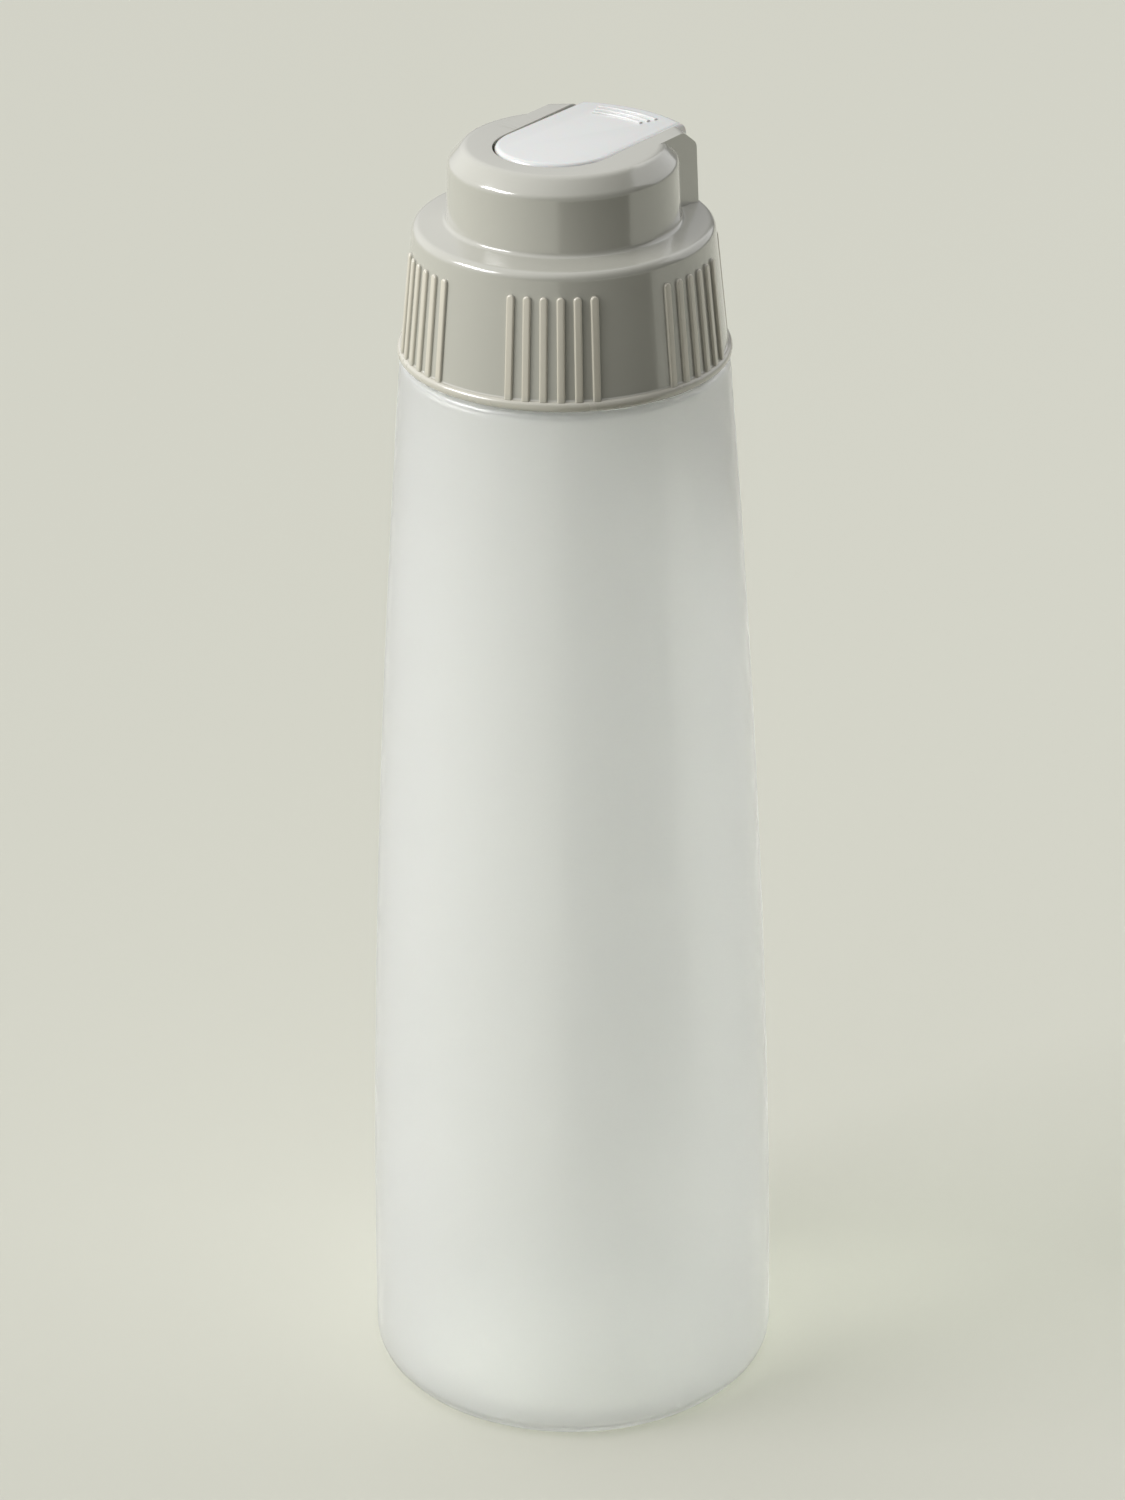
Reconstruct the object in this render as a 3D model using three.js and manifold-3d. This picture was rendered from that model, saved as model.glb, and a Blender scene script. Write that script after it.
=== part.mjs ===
// Squeezable sauce bottle: a milky blown bottle, a packing ring on its neck, a screw cap, and the rocker
// lever that opens the cap. Pressing the lever's rear end lifts its front, where the sauce pours.
// Millimetres, +Z up, origin at the middle of the resting ring. The pouring end of the lever faces -Y.

import * as THREE from 'three';
import { mergeVertices } from 'three/addons/utils/BufferGeometryUtils.js';
import Module from 'manifold-3d';

const wasm = await Module();
wasm.setup();

// How finely round shapes are faceted
const ROUND_STEPS = 48;
const PIN_STEPS = 20;
const CORNER_STEPS = 3;
const MERGE_DISTANCE = 1e-4;
const CUT_MARGIN = 1;

// Gaps that pieces keep to each other
const SEAT_GAP = 0.3;
const RUNNING_GAP = 0.3;
const THREAD_GAP = 0.35;

// Blown bottle
const BODY_RADIUS = 35;
const BODY_HEIGHT = 187.1;
const BODY_WALL = 1.0;
const SHOULDER_RADIUS = 26.4;
const WAIST_POWER = 1.75;
const SIDE_STEPS = 7;
const BASE_FILLET = 3.2;
const BASE_THICKNESS = 1.5;
const REST_RING_WIDTH = 3.6;
const PUNT_DEPTH = 4.5;
const PUNT_STEPS = 3;
const SHOULDER_FILLET = 1.2;
const SHELF_WIDTH = 1.6;
const SHELF_RISE = 1.4;

// Neck of the bottle and its right-hand thread
const NECK_RADIUS = 17.5;
const NECK_WALL = 2.1;
const NECK_HEIGHT = 17.9;
const LIP_CHAMFER = 0.4;
const BEAD_HEIGHT = 1.0;
const BEAD_CREST = 0.8;
const BEAD_PROUD = 1.0;
const THREAD_PITCH = 4.23;
const THREAD_TURNS = 1.25;
const THREAD_PROUD = 1.2;
const THREAD_ROOT_WIDTH = 2.2;
const THREAD_CREST_WIDTH = 1.3;
const THREAD_ROOT_SINK = 0.25;
const THREAD_STEP_DEGREES = 15;
const THREAD_FADE_STEPS = 2;
const THREAD_TOP_LAND = 2.1;

// Packing ring between the lip and the cap
const PACKING_THICKNESS = 1.2;
const PACKING_INSET = 0.2;

// Screw cap: outer skirt, inner threaded skirt and deck
const SKIRT_FOOT_RADIUS = 26.0;
const SKIRT_TOP_RADIUS = 24.05;
const SKIRT_WALL = 1.5;
const FLANGE_PROUD = 1.2;
const FLANGE_HEIGHT = 1.7;
const FLANGE_FILLET = 0.5;
const INNER_SKIRT_WALL = 1.3;
const INNER_SKIRT_DEPTH = 15.3;
const DECK_EDGE_FILLET = 1.4;
const DECK_EDGE_DROP = 0.5;
const DECK_THICKNESS = 1.5;
const PACKING_LAND_THICKNESS = 3.0;
const PACKING_LAND_WIDTH = 3.6;
const PLENUM_RISE = 1.6;

// Grip ribs on the outer skirt, in groups
const RIB_GROUPS = 6;
const RIBS_PER_GROUP = 6;
const RIB_PITCH_DEGREES = 6.1;
const RIB_GROUP_START_DEGREES = 31.5;
const RIB_WIDTH = 0.9;
const RIB_PROUD = 0.6;
const RIB_SINK = 0.4;
const RIB_TOP_CLEARANCE = 3.6;

// Round boss on the deck, and the square block behind it that the lever's rear end drops into
const BOSS_FOOT_RADIUS = 18.5;
const BOSS_SHOULDER_RADIUS = 18.2;
const BOSS_TOP_RADIUS = 15.7;
const BOSS_HEIGHT = 12.2;
const BOSS_CHAMFER_HEIGHT = 2.7;
const BOSS_FOOT_FILLET = 0.8;
const BLOCK_HALF_WIDTH = 12.85;
const BLOCK_FOOT_RADIUS = 22.9;
const BLOCK_SHOULDER_RADIUS = 22.3;
const BLOCK_TOP_RADIUS = 19.4;
const CORE_WALL = 1.6;
const CORE_OUTER_WALL = 2.9;

// Pocket in the boss, with the valve seat that the lever's barrel turns in
const POCKET_DEPTH = 12.0;
const SEAT_TOP_BELOW_PIVOT = 3.4;
const SEAT_END_WALL = 1.3;
const SEAT_SIDE_WALL = 1.5;
const ORIFICE_RADIUS = 1.5;

// Rocker lever, in its own frame with the pivot at the origin
const LEVER_HALF_WIDTH = 9.77;
const LEVER_FRONT_REACH = 17.0;
const LEVER_REAR_RADIUS = 22.0;
const LEVER_REAR_FILLET = 2.0;
const LEVER_REAR_DEPTH = 3.0;
const LEVER_TOP = 4.9;
const LEVER_PLATE = 2.0;
const LEVER_WALL = 1.3;
const LEVER_SKIRT_BOTTOM = -2.2;
const LEVER_EDGE = 1.0;
const LEVER_REST_TILT_DEGREES = 0.9;
const LEVER_OPEN_DEGREES = 30;
const PIVOT_Y = 5.5;
const PIVOT_BELOW_TOP = 4.8;
const TRUNNION_RADIUS = 1.6;
const TRUNNION_LENGTH = 1.4;
const TRUNNION_EAR_RADIUS = 3.2;
const BARREL_RADIUS = 6.8;
const BARREL_HALF_WIDTH = 6.0;
const NOZZLE_RADIUS = 2.9;
const NOZZLE_BORE = 1.6;
const NOZZLE_ABOVE_PIVOT = 1.0;
const GRIP_BAR_RADII = [15.2, 16.7, 18.2];
const GRIP_BAR_HALF_ANGLE_DEGREES = 18;
const GRIP_BAR_WIDTH = 0.6;
const GRIP_BAR_PROUD = 0.25;

// Colours and surfaces
const MILKY_BOTTLE = { color: 0xd9d8d2, roughness: 0.4, metalness: 0 };
const GREY_CAP = { color: 0xa6a49c, roughness: 0.3, metalness: 0 };
const WHITE_LEVER = { color: 0xf0f0ec, roughness: 0.25, metalness: 0 };
const PALE_PACKING = { color: 0xe4e4de, roughness: 0.7, metalness: 0 };

// Heights and places that follow from the sizes above
const NECK_TOP = BODY_HEIGHT + NECK_HEIGHT;
const PACKING_FLOOR = NECK_TOP + SEAT_GAP;
const DECK_UNDERSIDE = PACKING_FLOOR + PACKING_THICKNESS + SEAT_GAP;
const DECK_TOP = DECK_UNDERSIDE + PACKING_LAND_THICKNESS;
const CAP_TOP = DECK_TOP + BOSS_HEIGHT;
const CAP_FLOOR = BODY_HEIGHT + SEAT_GAP;
const FLANGE_TOP = CAP_FLOOR + FLANGE_HEIGHT;
const SKIRT_TOP = DECK_TOP - DECK_EDGE_DROP - DECK_EDGE_FILLET;
const SKIRT_SLOPE = (SKIRT_FOOT_RADIUS - SKIRT_TOP_RADIUS) / (SKIRT_TOP - FLANGE_TOP);
const THREAD_CREST_RADIUS = NECK_RADIUS + THREAD_PROUD;
const INNER_SKIRT_RADIUS = THREAD_CREST_RADIUS + THREAD_GAP;
const BORE_RADIUS = NECK_RADIUS - NECK_WALL;
const PLENUM_CEILING = DECK_UNDERSIDE + PLENUM_RISE;
const PLENUM_RADIUS = INNER_SKIRT_RADIUS - PACKING_LAND_WIDTH;
const THREAD_RISE = THREAD_PITCH * THREAD_TURNS;
const NECK_THREAD_START = NECK_TOP - THREAD_TOP_LAND - THREAD_RISE;
const CAP_THREAD_START = NECK_THREAD_START - THREAD_PITCH / 2;
const PIVOT_Z = CAP_TOP - PIVOT_BELOW_TOP;
const POCKET_FLOOR = CAP_TOP - POCKET_DEPTH;
const POCKET_HALF_WIDTH = LEVER_HALF_WIDTH + RUNNING_GAP;
const POCKET_FRONT = PIVOT_Y - Math.hypot(LEVER_FRONT_REACH, LEVER_SKIRT_BOTTOM) - RUNNING_GAP;
const OPENING_TURN_DEGREES = LEVER_OPEN_DEGREES + LEVER_REST_TILT_DEGREES;

const radians = THREE.MathUtils.degToRad;

// Points of a round corner, as [radius, height] pairs
function corner(centreR, centreZ, radius, fromDegrees, toDegrees) {
  const points = [];
  for (let i = 0; i <= CORNER_STEPS; i += 1) {
    const angle = radians(fromDegrees + (toDegrees - fromDegrees) * i / CORNER_STEPS);
    points.push([centreR + radius * Math.cos(angle), centreZ + radius * Math.sin(angle)]);
  }
  return points;
}

// Closed geometry to solid: equal corners become one and faces without area go
function solidFrom(geometry) {
  const bare = geometry.clone();
  bare.deleteAttribute('normal');
  bare.deleteAttribute('uv');
  const merged = mergeVertices(bare, MERGE_DISTANCE);
  const corners = merged.index.array;
  const faces = [];
  for (let i = 0; i < corners.length; i += 3) {
    const [a, b, c] = corners.slice(i, i + 3);
    if (a !== b && b !== c && c !== a) {
      faces.push(a, b, c);
    }
  }
  return new wasm.Manifold(new wasm.Mesh({
    numProp: 3,
    vertProperties: new Float32Array(merged.attributes.position.array),
    triVerts: new Uint32Array(faces),
  }));
}

// Solid of revolution about Z from a closed profile that runs anticlockwise, radius to the right
function revolve(profile) {
  const points = profile.map(([r, z]) => new THREE.Vector2(r, z));
  points.push(points[0].clone());
  return solidFrom(new THREE.LatheGeometry(points, ROUND_STEPS).rotateX(Math.PI / 2));
}

function box(low, high) {
  const size = high.map((value, axis) => value - low[axis]);
  const centre = high.map((value, axis) => (value + low[axis]) / 2);
  return solidFrom(new THREE.BoxGeometry(...size).translate(...centre));
}

// Round bar along X through a point in the YZ plane
function crossBar(radius, halfLength, y, z, steps = PIN_STEPS) {
  const bar = new THREE.CylinderGeometry(radius, radius, 2 * halfLength, steps);
  return solidFrom(bar.rotateZ(Math.PI / 2).translate(0, y, z));
}

// Solid of a plan outline between two heights
function plate(outline, low, high) {
  const options = { depth: high - low, bevelEnabled: false, curveSegments: ROUND_STEPS / 4 };
  return solidFrom(new THREE.ExtrudeGeometry(outline, options).translate(0, 0, low));
}

// Tongue outline: straight sides, half-round front at frontY, cut square at rearY
function tongueOutline(halfWidth, frontY, rearY) {
  const centreY = frontY + halfWidth;
  const outline = new THREE.Shape();
  outline.moveTo(-halfWidth, centreY);
  outline.absarc(0, centreY, halfWidth, Math.PI, 2 * Math.PI, false);
  outline.lineTo(halfWidth, rearY);
  outline.lineTo(-halfWidth, rearY);
  outline.closePath();
  return outline;
}

// Helical ridge: a straight trapezoid bar wound round the neck, its height fading in and out at the ends.
// A positive proud stands out from rootRadius, a negative one stands in.
function helicalRidge(rootRadius, proud, startZ) {
  const steps = THREAD_TURNS * 360 / THREAD_STEP_DEGREES;
  const sink = -Math.sign(proud) * THREAD_ROOT_SINK;
  const section = new THREE.Shape();
  section.moveTo(sink, -THREAD_ROOT_WIDTH / 2);
  section.lineTo(proud, -THREAD_CREST_WIDTH / 2);
  section.lineTo(proud, THREAD_CREST_WIDTH / 2);
  section.lineTo(sink, THREAD_ROOT_WIDTH / 2);
  section.closePath();
  const bar = new THREE.ExtrudeGeometry(section, { depth: steps, steps, bevelEnabled: false });
  const place = bar.attributes.position;
  for (let i = 0; i < place.count; i += 1) {
    const step = place.getZ(i);
    const fade = Math.min(1, (step + 0.2) / THREAD_FADE_STEPS, (steps - step + 0.2) / THREAD_FADE_STEPS);
    const height = place.getX(i) === sink ? sink : sink + (proud - sink) * fade;
    const turn = radians(step * THREAD_STEP_DEGREES);
    const z = startZ - place.getY(i) + THREAD_PITCH * turn / (2 * Math.PI);
    place.setXYZ(i, (rootRadius + height) * Math.cos(turn), (rootRadius + height) * Math.sin(turn), z);
  }
  return solidFrom(bar);
}

function bodyRadiusAt(z) {
  return BODY_RADIUS - (BODY_RADIUS - SHOULDER_RADIUS) * (z / BODY_HEIGHT) ** WAIST_POWER;
}

// Side of the bottle between two heights, inset by the wall or not
function sidePoints(fromZ, toZ, inset) {
  const points = [];
  for (let i = 0; i <= SIDE_STEPS; i += 1) {
    const z = fromZ + (toZ - fromZ) * i / SIDE_STEPS;
    points.push([bodyRadiusAt(z) - inset, z]);
  }
  return points;
}

// Push-up of the base from the axis out to its rim, a shallow dome
function puntPoints(rimRadius, rimZ) {
  const domeRadius = (rimRadius ** 2 + PUNT_DEPTH ** 2) / (2 * PUNT_DEPTH);
  const points = [];
  for (let i = 0; i <= PUNT_STEPS; i += 1) {
    const r = rimRadius * i / PUNT_STEPS;
    points.push([r, rimZ + PUNT_DEPTH - domeRadius + Math.sqrt(domeRadius ** 2 - r ** 2)]);
  }
  return points;
}

function makeBottle() {
  const ringOuter = BODY_RADIUS - BASE_FILLET;
  const ringInner = ringOuter - REST_RING_WIDTH;
  const filletTop = BODY_HEIGHT - SHOULDER_FILLET;
  const filletCentre = bodyRadiusAt(filletTop) - SHOULDER_FILLET;
  const shelfInner = filletCentre - SHELF_WIDTH;
  const rootZ = BODY_HEIGHT + SHELF_RISE;
  const beadFoot = rootZ + BEAD_CREST;
  const beadRadius = NECK_RADIUS + BEAD_PROUD;
  const outside = [
    ...puntPoints(ringInner, 0),
    ...corner(ringOuter, BASE_FILLET, BASE_FILLET, -90, 0),
    ...sidePoints(BASE_FILLET, filletTop, 0).slice(1, -1),
    ...corner(filletCentre, filletTop, SHOULDER_FILLET, 0, 90),
    [shelfInner, BODY_HEIGHT],
    [NECK_RADIUS + SHELF_RISE, rootZ - SHELF_RISE / 4],
    [NECK_RADIUS, rootZ],
    [NECK_RADIUS, beadFoot],
    [beadRadius, beadFoot + BEAD_HEIGHT / 2],
    [beadRadius, beadFoot + BEAD_HEIGHT / 2 + BEAD_CREST],
    [NECK_RADIUS, beadFoot + BEAD_HEIGHT + BEAD_CREST],
    [NECK_RADIUS, NECK_TOP - LIP_CHAMFER],
    [NECK_RADIUS - LIP_CHAMFER, NECK_TOP],
  ];
  const innerFillet = BASE_FILLET - BODY_WALL;
  const ceiling = BODY_HEIGHT - BODY_WALL;
  const inside = [
    [BORE_RADIUS + LIP_CHAMFER, NECK_TOP],
    [BORE_RADIUS, NECK_TOP - LIP_CHAMFER],
    [BORE_RADIUS, BODY_HEIGHT],
    [NECK_RADIUS, ceiling + SHELF_RISE / 4],
    [shelfInner, ceiling],
    ...corner(filletCentre - BODY_WALL, filletTop - BODY_WALL, SHOULDER_FILLET, 90, 0),
    ...sidePoints(BASE_THICKNESS + innerFillet, filletTop - BODY_WALL, BODY_WALL).reverse().slice(1, -1),
    ...corner(ringOuter, BASE_THICKNESS + innerFillet, innerFillet, 0, -90),
    ...puntPoints(ringInner - BODY_WALL, BASE_THICKNESS).reverse(),
  ];
  const blown = revolve([...outside, ...inside]);
  return blown.add(helicalRidge(NECK_RADIUS, THREAD_PROUD, NECK_THREAD_START));
}

function makePackingRing() {
  const outer = INNER_SKIRT_RADIUS - SEAT_GAP;
  const inner = BORE_RADIUS + PACKING_INSET;
  const top = PACKING_FLOOR + PACKING_THICKNESS;
  return revolve([[inner, PACKING_FLOOR], [outer, PACKING_FLOOR], [outer, top], [inner, top]]);
}

function makeGripRibs() {
  const height = SKIRT_TOP + DECK_EDGE_FILLET - RIB_TOP_CLEARANCE - FLANGE_TOP;
  const half = RIB_WIDTH / 2;
  const outline = new THREE.Shape();
  outline.moveTo(-half, 0);
  outline.lineTo(half, 0);
  outline.lineTo(half, height - half);
  outline.absarc(0, height - half, half, 0, Math.PI, false);
  outline.closePath();
  const options = { depth: RIB_PROUD + RIB_SINK, bevelEnabled: false, curveSegments: 4 };
  const upright = new THREE.ExtrudeGeometry(outline, options);
  upright.translate(0, 0, -RIB_SINK).rotateX(Math.PI / 2 - Math.atan(SKIRT_SLOPE));
  upright.translate(0, -SKIRT_FOOT_RADIUS, FLANGE_TOP);
  const ribs = [];
  for (let group = 0; group < RIB_GROUPS; group += 1) {
    const middle = RIB_GROUP_START_DEGREES + group * 360 / RIB_GROUPS;
    for (let i = 0; i < RIBS_PER_GROUP; i += 1) {
      const angle = middle + (i - (RIBS_PER_GROUP - 1) / 2) * RIB_PITCH_DEGREES;
      ribs.push(solidFrom(upright.clone().rotateZ(radians(angle))));
    }
  }
  return ribs;
}

function makeCapShell() {
  const skirtInnerTop = SKIRT_TOP_RADIUS - SKIRT_WALL;
  const skirtInnerFoot = SKIRT_FOOT_RADIUS - SKIRT_WALL;
  const flangeRadius = SKIRT_FOOT_RADIUS + FLANGE_PROUD;
  const innerSkirtFoot = DECK_UNDERSIDE - INNER_SKIRT_DEPTH;
  const innerSkirtOuter = INNER_SKIRT_RADIUS + INNER_SKIRT_WALL;
  const annulusTop = SKIRT_TOP + DECK_EDGE_FILLET - DECK_THICKNESS;
  const deckEdge = SKIRT_TOP_RADIUS - DECK_EDGE_FILLET;
  const bossShoulder = CAP_TOP - BOSS_CHAMFER_HEIGHT;
  return revolve([
    [0, PLENUM_CEILING],
    [PLENUM_RADIUS, PLENUM_CEILING],
    [PLENUM_RADIUS, DECK_UNDERSIDE],
    [INNER_SKIRT_RADIUS, DECK_UNDERSIDE],
    [INNER_SKIRT_RADIUS, innerSkirtFoot],
    [innerSkirtOuter, innerSkirtFoot],
    [innerSkirtOuter, annulusTop],
    [skirtInnerTop, annulusTop],
    [skirtInnerFoot, CAP_FLOOR],
    ...corner(flangeRadius - FLANGE_FILLET, CAP_FLOOR + FLANGE_FILLET, FLANGE_FILLET, -90, 0),
    ...corner(flangeRadius - FLANGE_FILLET, FLANGE_TOP - FLANGE_FILLET, FLANGE_FILLET, 0, 90),
    [SKIRT_FOOT_RADIUS, FLANGE_TOP],
    ...corner(deckEdge, SKIRT_TOP, DECK_EDGE_FILLET, 0, 90),
    ...corner(BOSS_FOOT_RADIUS + BOSS_FOOT_FILLET, DECK_TOP + BOSS_FOOT_FILLET, BOSS_FOOT_FILLET, 270, 180),
    [BOSS_SHOULDER_RADIUS, bossShoulder],
    [BOSS_TOP_RADIUS, CAP_TOP],
    [0, CAP_TOP],
  ]);
}

// Block behind the boss: the boss's form carried out to a larger radius between two straight sides
function makeRearBlock() {
  const foot = DECK_TOP - DECK_EDGE_DROP - DECK_THICKNESS / 2;
  const round = revolve([
    [0, foot],
    [BLOCK_FOOT_RADIUS, foot],
    [BLOCK_FOOT_RADIUS, DECK_TOP],
    [BLOCK_SHOULDER_RADIUS, CAP_TOP - BOSS_CHAMFER_HEIGHT],
    [BLOCK_TOP_RADIUS, CAP_TOP],
    [0, CAP_TOP],
  ]);
  return round.intersect(box([-BLOCK_HALF_WIDTH, 0, foot], [BLOCK_HALF_WIDTH, BODY_RADIUS, CAP_TOP]));
}

// Horseshoe hollow under the boss, which keeps the wall round the pocket even
function makeBossCore() {
  const top = CAP_TOP - BOSS_CHAMFER_HEIGHT;
  const foot = PLENUM_CEILING - CUT_MARGIN;
  const radius = BOSS_SHOULDER_RADIUS - CORE_OUTER_WALL;
  const round = revolve([[0, foot], [radius, foot], [radius, top], [0, top]]);
  const bearingFront = PIVOT_Y - TRUNNION_RADIUS - RUNNING_GAP - CORE_WALL;
  const frontHalf = box([-BODY_RADIUS, -BODY_RADIUS, 0], [BODY_RADIUS, bearingFront, CAP_TOP]);
  const outline = tongueOutline(POCKET_HALF_WIDTH + CORE_WALL, POCKET_FRONT - CORE_WALL, BODY_RADIUS);
  return round.intersect(frontHalf).subtract(plate(outline, 0, CAP_TOP));
}

// Valve seat standing on the pocket's floor, hollowed to the lever's barrel
function makeValveSeat() {
  const hollowRadius = BARREL_RADIUS + RUNNING_GAP;
  const hollowHalfWidth = BARREL_HALF_WIDTH + RUNNING_GAP;
  const halfLength = hollowRadius + SEAT_SIDE_WALL;
  const halfWidth = hollowHalfWidth + SEAT_END_WALL;
  const block = box(
    [-halfWidth, PIVOT_Y - halfLength, POCKET_FLOOR - CUT_MARGIN],
    [halfWidth, PIVOT_Y + halfLength, PIVOT_Z - SEAT_TOP_BELOW_PIVOT],
  );
  const hollow = crossBar(hollowRadius, hollowHalfWidth, PIVOT_Y, PIVOT_Z, ROUND_STEPS);
  return { block, hollow };
}

function makeCap() {
  const pocket = plate(
    tongueOutline(POCKET_HALF_WIDTH, POCKET_FRONT, BODY_RADIUS),
    POCKET_FLOOR,
    CAP_TOP + CUT_MARGIN,
  );
  const seat = makeValveSeat();
  const bearingReach = LEVER_HALF_WIDTH + TRUNNION_LENGTH + RUNNING_GAP;
  const bearings = crossBar(TRUNNION_RADIUS + RUNNING_GAP, bearingReach, PIVOT_Y, PIVOT_Z);
  const bore = new THREE.CylinderGeometry(ORIFICE_RADIUS, ORIFICE_RADIUS, PIVOT_Z - DECK_UNDERSIDE, PIN_STEPS);
  const orifice = solidFrom(bore.rotateX(Math.PI / 2).translate(0, PIVOT_Y, (PIVOT_Z + DECK_UNDERSIDE) / 2));
  let cap = makeCapShell().add(makeRearBlock()).subtract(pocket);
  cap = cap.add(seat.block).subtract(seat.hollow).subtract(bearings).subtract(orifice);
  cap = cap.subtract(makeBossCore());
  cap = cap.add(helicalRidge(INNER_SKIRT_RADIUS, -THREAD_PROUD, CAP_THREAD_START));
  for (const rib of makeGripRibs()) {
    cap = cap.add(rib);
  }
  return cap;
}

// Outside of the lever: tongue with a softened top edge, rounded over at the rear and stepped below
function makeLeverForm() {
  const rearY = BODY_RADIUS;
  const outline = tongueOutline(LEVER_HALF_WIDTH - LEVER_EDGE, LEVER_EDGE - LEVER_FRONT_REACH, rearY);
  const options = {
    depth: LEVER_TOP - LEVER_SKIRT_BOTTOM,
    bevelThickness: LEVER_EDGE,
    bevelSize: LEVER_EDGE,
    bevelSegments: 2,
    curveSegments: ROUND_STEPS / 4,
  };
  const tongue = solidFrom(
    new THREE.ExtrudeGeometry(outline, options).translate(0, 0, LEVER_SKIRT_BOTTOM - LEVER_EDGE),
  );
  const puckFoot = LEVER_SKIRT_BOTTOM;
  const filletR = LEVER_REAR_RADIUS - LEVER_REAR_FILLET;
  const puck = revolve([
    [0, puckFoot],
    [LEVER_REAR_RADIUS, puckFoot],
    ...corner(filletR, LEVER_TOP - LEVER_REAR_FILLET, LEVER_REAR_FILLET, 0, 90),
    [0, LEVER_TOP],
  ]).translate([0, -PIVOT_Y, 0]);
  return tongue.intersect(puck).intersect(makeSideProfile());
}

// Side view of the lever: deep in front of the pivot, an ear round it, and shallow behind it
function makeSideProfile() {
  const side = new THREE.Shape();
  side.moveTo(-LEVER_FRONT_REACH - CUT_MARGIN, LEVER_SKIRT_BOTTOM);
  side.lineTo(-TRUNNION_EAR_RADIUS, LEVER_SKIRT_BOTTOM);
  side.absarc(0, 0, TRUNNION_EAR_RADIUS, 1.25 * Math.PI, 2 * Math.PI, false);
  side.lineTo(BARREL_RADIUS, LEVER_TOP - LEVER_REAR_DEPTH);
  side.lineTo(BODY_RADIUS, LEVER_TOP - LEVER_REAR_DEPTH);
  side.lineTo(BODY_RADIUS, LEVER_TOP + CUT_MARGIN);
  side.lineTo(-LEVER_FRONT_REACH - CUT_MARGIN, LEVER_TOP + CUT_MARGIN);
  side.closePath();
  const slab = new THREE.ExtrudeGeometry(side, { depth: 4 * LEVER_HALF_WIDTH, bevelEnabled: false });
  slab.rotateX(Math.PI / 2).rotateZ(Math.PI / 2);
  return solidFrom(slab.translate(-2 * LEVER_HALF_WIDTH, 0, 0));
}

// Bars for the fingertip, parallel to the lever's rear edge
function makeGripBars() {
  const bars = [];
  const half = radians(GRIP_BAR_HALF_ANGLE_DEGREES);
  for (const radius of GRIP_BAR_RADII) {
    const outline = new THREE.Shape();
    outline.absarc(0, -PIVOT_Y, radius - GRIP_BAR_WIDTH / 2, Math.PI / 2 - half, Math.PI / 2 + half, false);
    outline.absarc(0, -PIVOT_Y, radius + GRIP_BAR_WIDTH / 2, Math.PI / 2 + half, Math.PI / 2 - half, true);
    outline.closePath();
    bars.push(plate(outline, LEVER_TOP - GRIP_BAR_PROUD, LEVER_TOP + GRIP_BAR_PROUD));
  }
  return bars;
}

function makeLever() {
  const plateFoot = LEVER_TOP - LEVER_PLATE;
  const innerHalfWidth = LEVER_HALF_WIDTH - LEVER_WALL;
  const innerOutline = tongueOutline(innerHalfWidth, LEVER_WALL - LEVER_FRONT_REACH, BODY_RADIUS);
  const rearInner = revolve([
    [0, LEVER_SKIRT_BOTTOM - BARREL_RADIUS],
    [LEVER_REAR_RADIUS - LEVER_WALL, LEVER_SKIRT_BOTTOM - BARREL_RADIUS],
    [LEVER_REAR_RADIUS - LEVER_WALL, plateFoot - LEVER_WALL],
    [LEVER_REAR_RADIUS - 2 * LEVER_WALL, plateFoot],
    [0, plateFoot],
  ]).translate([0, -PIVOT_Y, 0]);
  const hollow = plate(innerOutline, LEVER_SKIRT_BOTTOM - BARREL_RADIUS, plateFoot).intersect(rearInner);
  const barrel = crossBar(BARREL_RADIUS, BARREL_HALF_WIDTH, 0, 0, ROUND_STEPS).intersect(
    box([-LEVER_HALF_WIDTH, -BARREL_RADIUS, -BARREL_RADIUS], [LEVER_HALF_WIDTH, BARREL_RADIUS, plateFoot + LEVER_PLATE / 2]),
  );
  const nozzleLength = LEVER_FRONT_REACH - LEVER_WALL / 2;
  const nozzleTube = new THREE.CylinderGeometry(NOZZLE_RADIUS, NOZZLE_RADIUS, nozzleLength, PIN_STEPS);
  const nozzle = solidFrom(nozzleTube.translate(0, -nozzleLength / 2, NOZZLE_ABOVE_PIVOT));
  const trunnions = crossBar(TRUNNION_RADIUS, LEVER_HALF_WIDTH + TRUNNION_LENGTH, 0, 0);
  const trunnionGap = box(
    [-innerHalfWidth, -BARREL_RADIUS, -BARREL_RADIUS],
    [innerHalfWidth, BARREL_RADIUS, BARREL_RADIUS],
  );
  const pourLength = LEVER_FRONT_REACH + CUT_MARGIN;
  const pourBore = new THREE.CylinderGeometry(NOZZLE_BORE, NOZZLE_BORE, pourLength, PIN_STEPS);
  const pour = solidFrom(pourBore.translate(0, -pourLength / 2, NOZZLE_ABOVE_PIVOT));
  const inletLength = BARREL_RADIUS + CUT_MARGIN;
  const inletBore = new THREE.CylinderGeometry(NOZZLE_BORE, NOZZLE_BORE, inletLength, PIN_STEPS);
  inletBore.translate(0, -inletLength / 2, 0).rotateX(Math.PI / 2 + radians(OPENING_TURN_DEGREES));
  const inlet = solidFrom(inletBore);
  let lever = makeLeverForm().subtract(hollow).add(trunnions.subtract(trunnionGap));
  lever = lever.add(barrel).add(nozzle).subtract(pour).subtract(inlet);
  for (const bar of makeGripBars()) {
    lever = lever.add(bar);
  }
  return lever;
}

// Named mesh of a solid, with its plastic
function piece(name, solid, plastic) {
  const mesh = solid.getMesh();
  const geometry = new THREE.BufferGeometry();
  geometry.setAttribute('position', new THREE.BufferAttribute(mesh.vertProperties, 3));
  geometry.setIndex(new THREE.BufferAttribute(mesh.triVerts, 1));
  geometry.computeVertexNormals();
  const made = new THREE.Mesh(geometry, new THREE.MeshStandardMaterial(plastic));
  made.name = name;
  return made;
}

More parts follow.
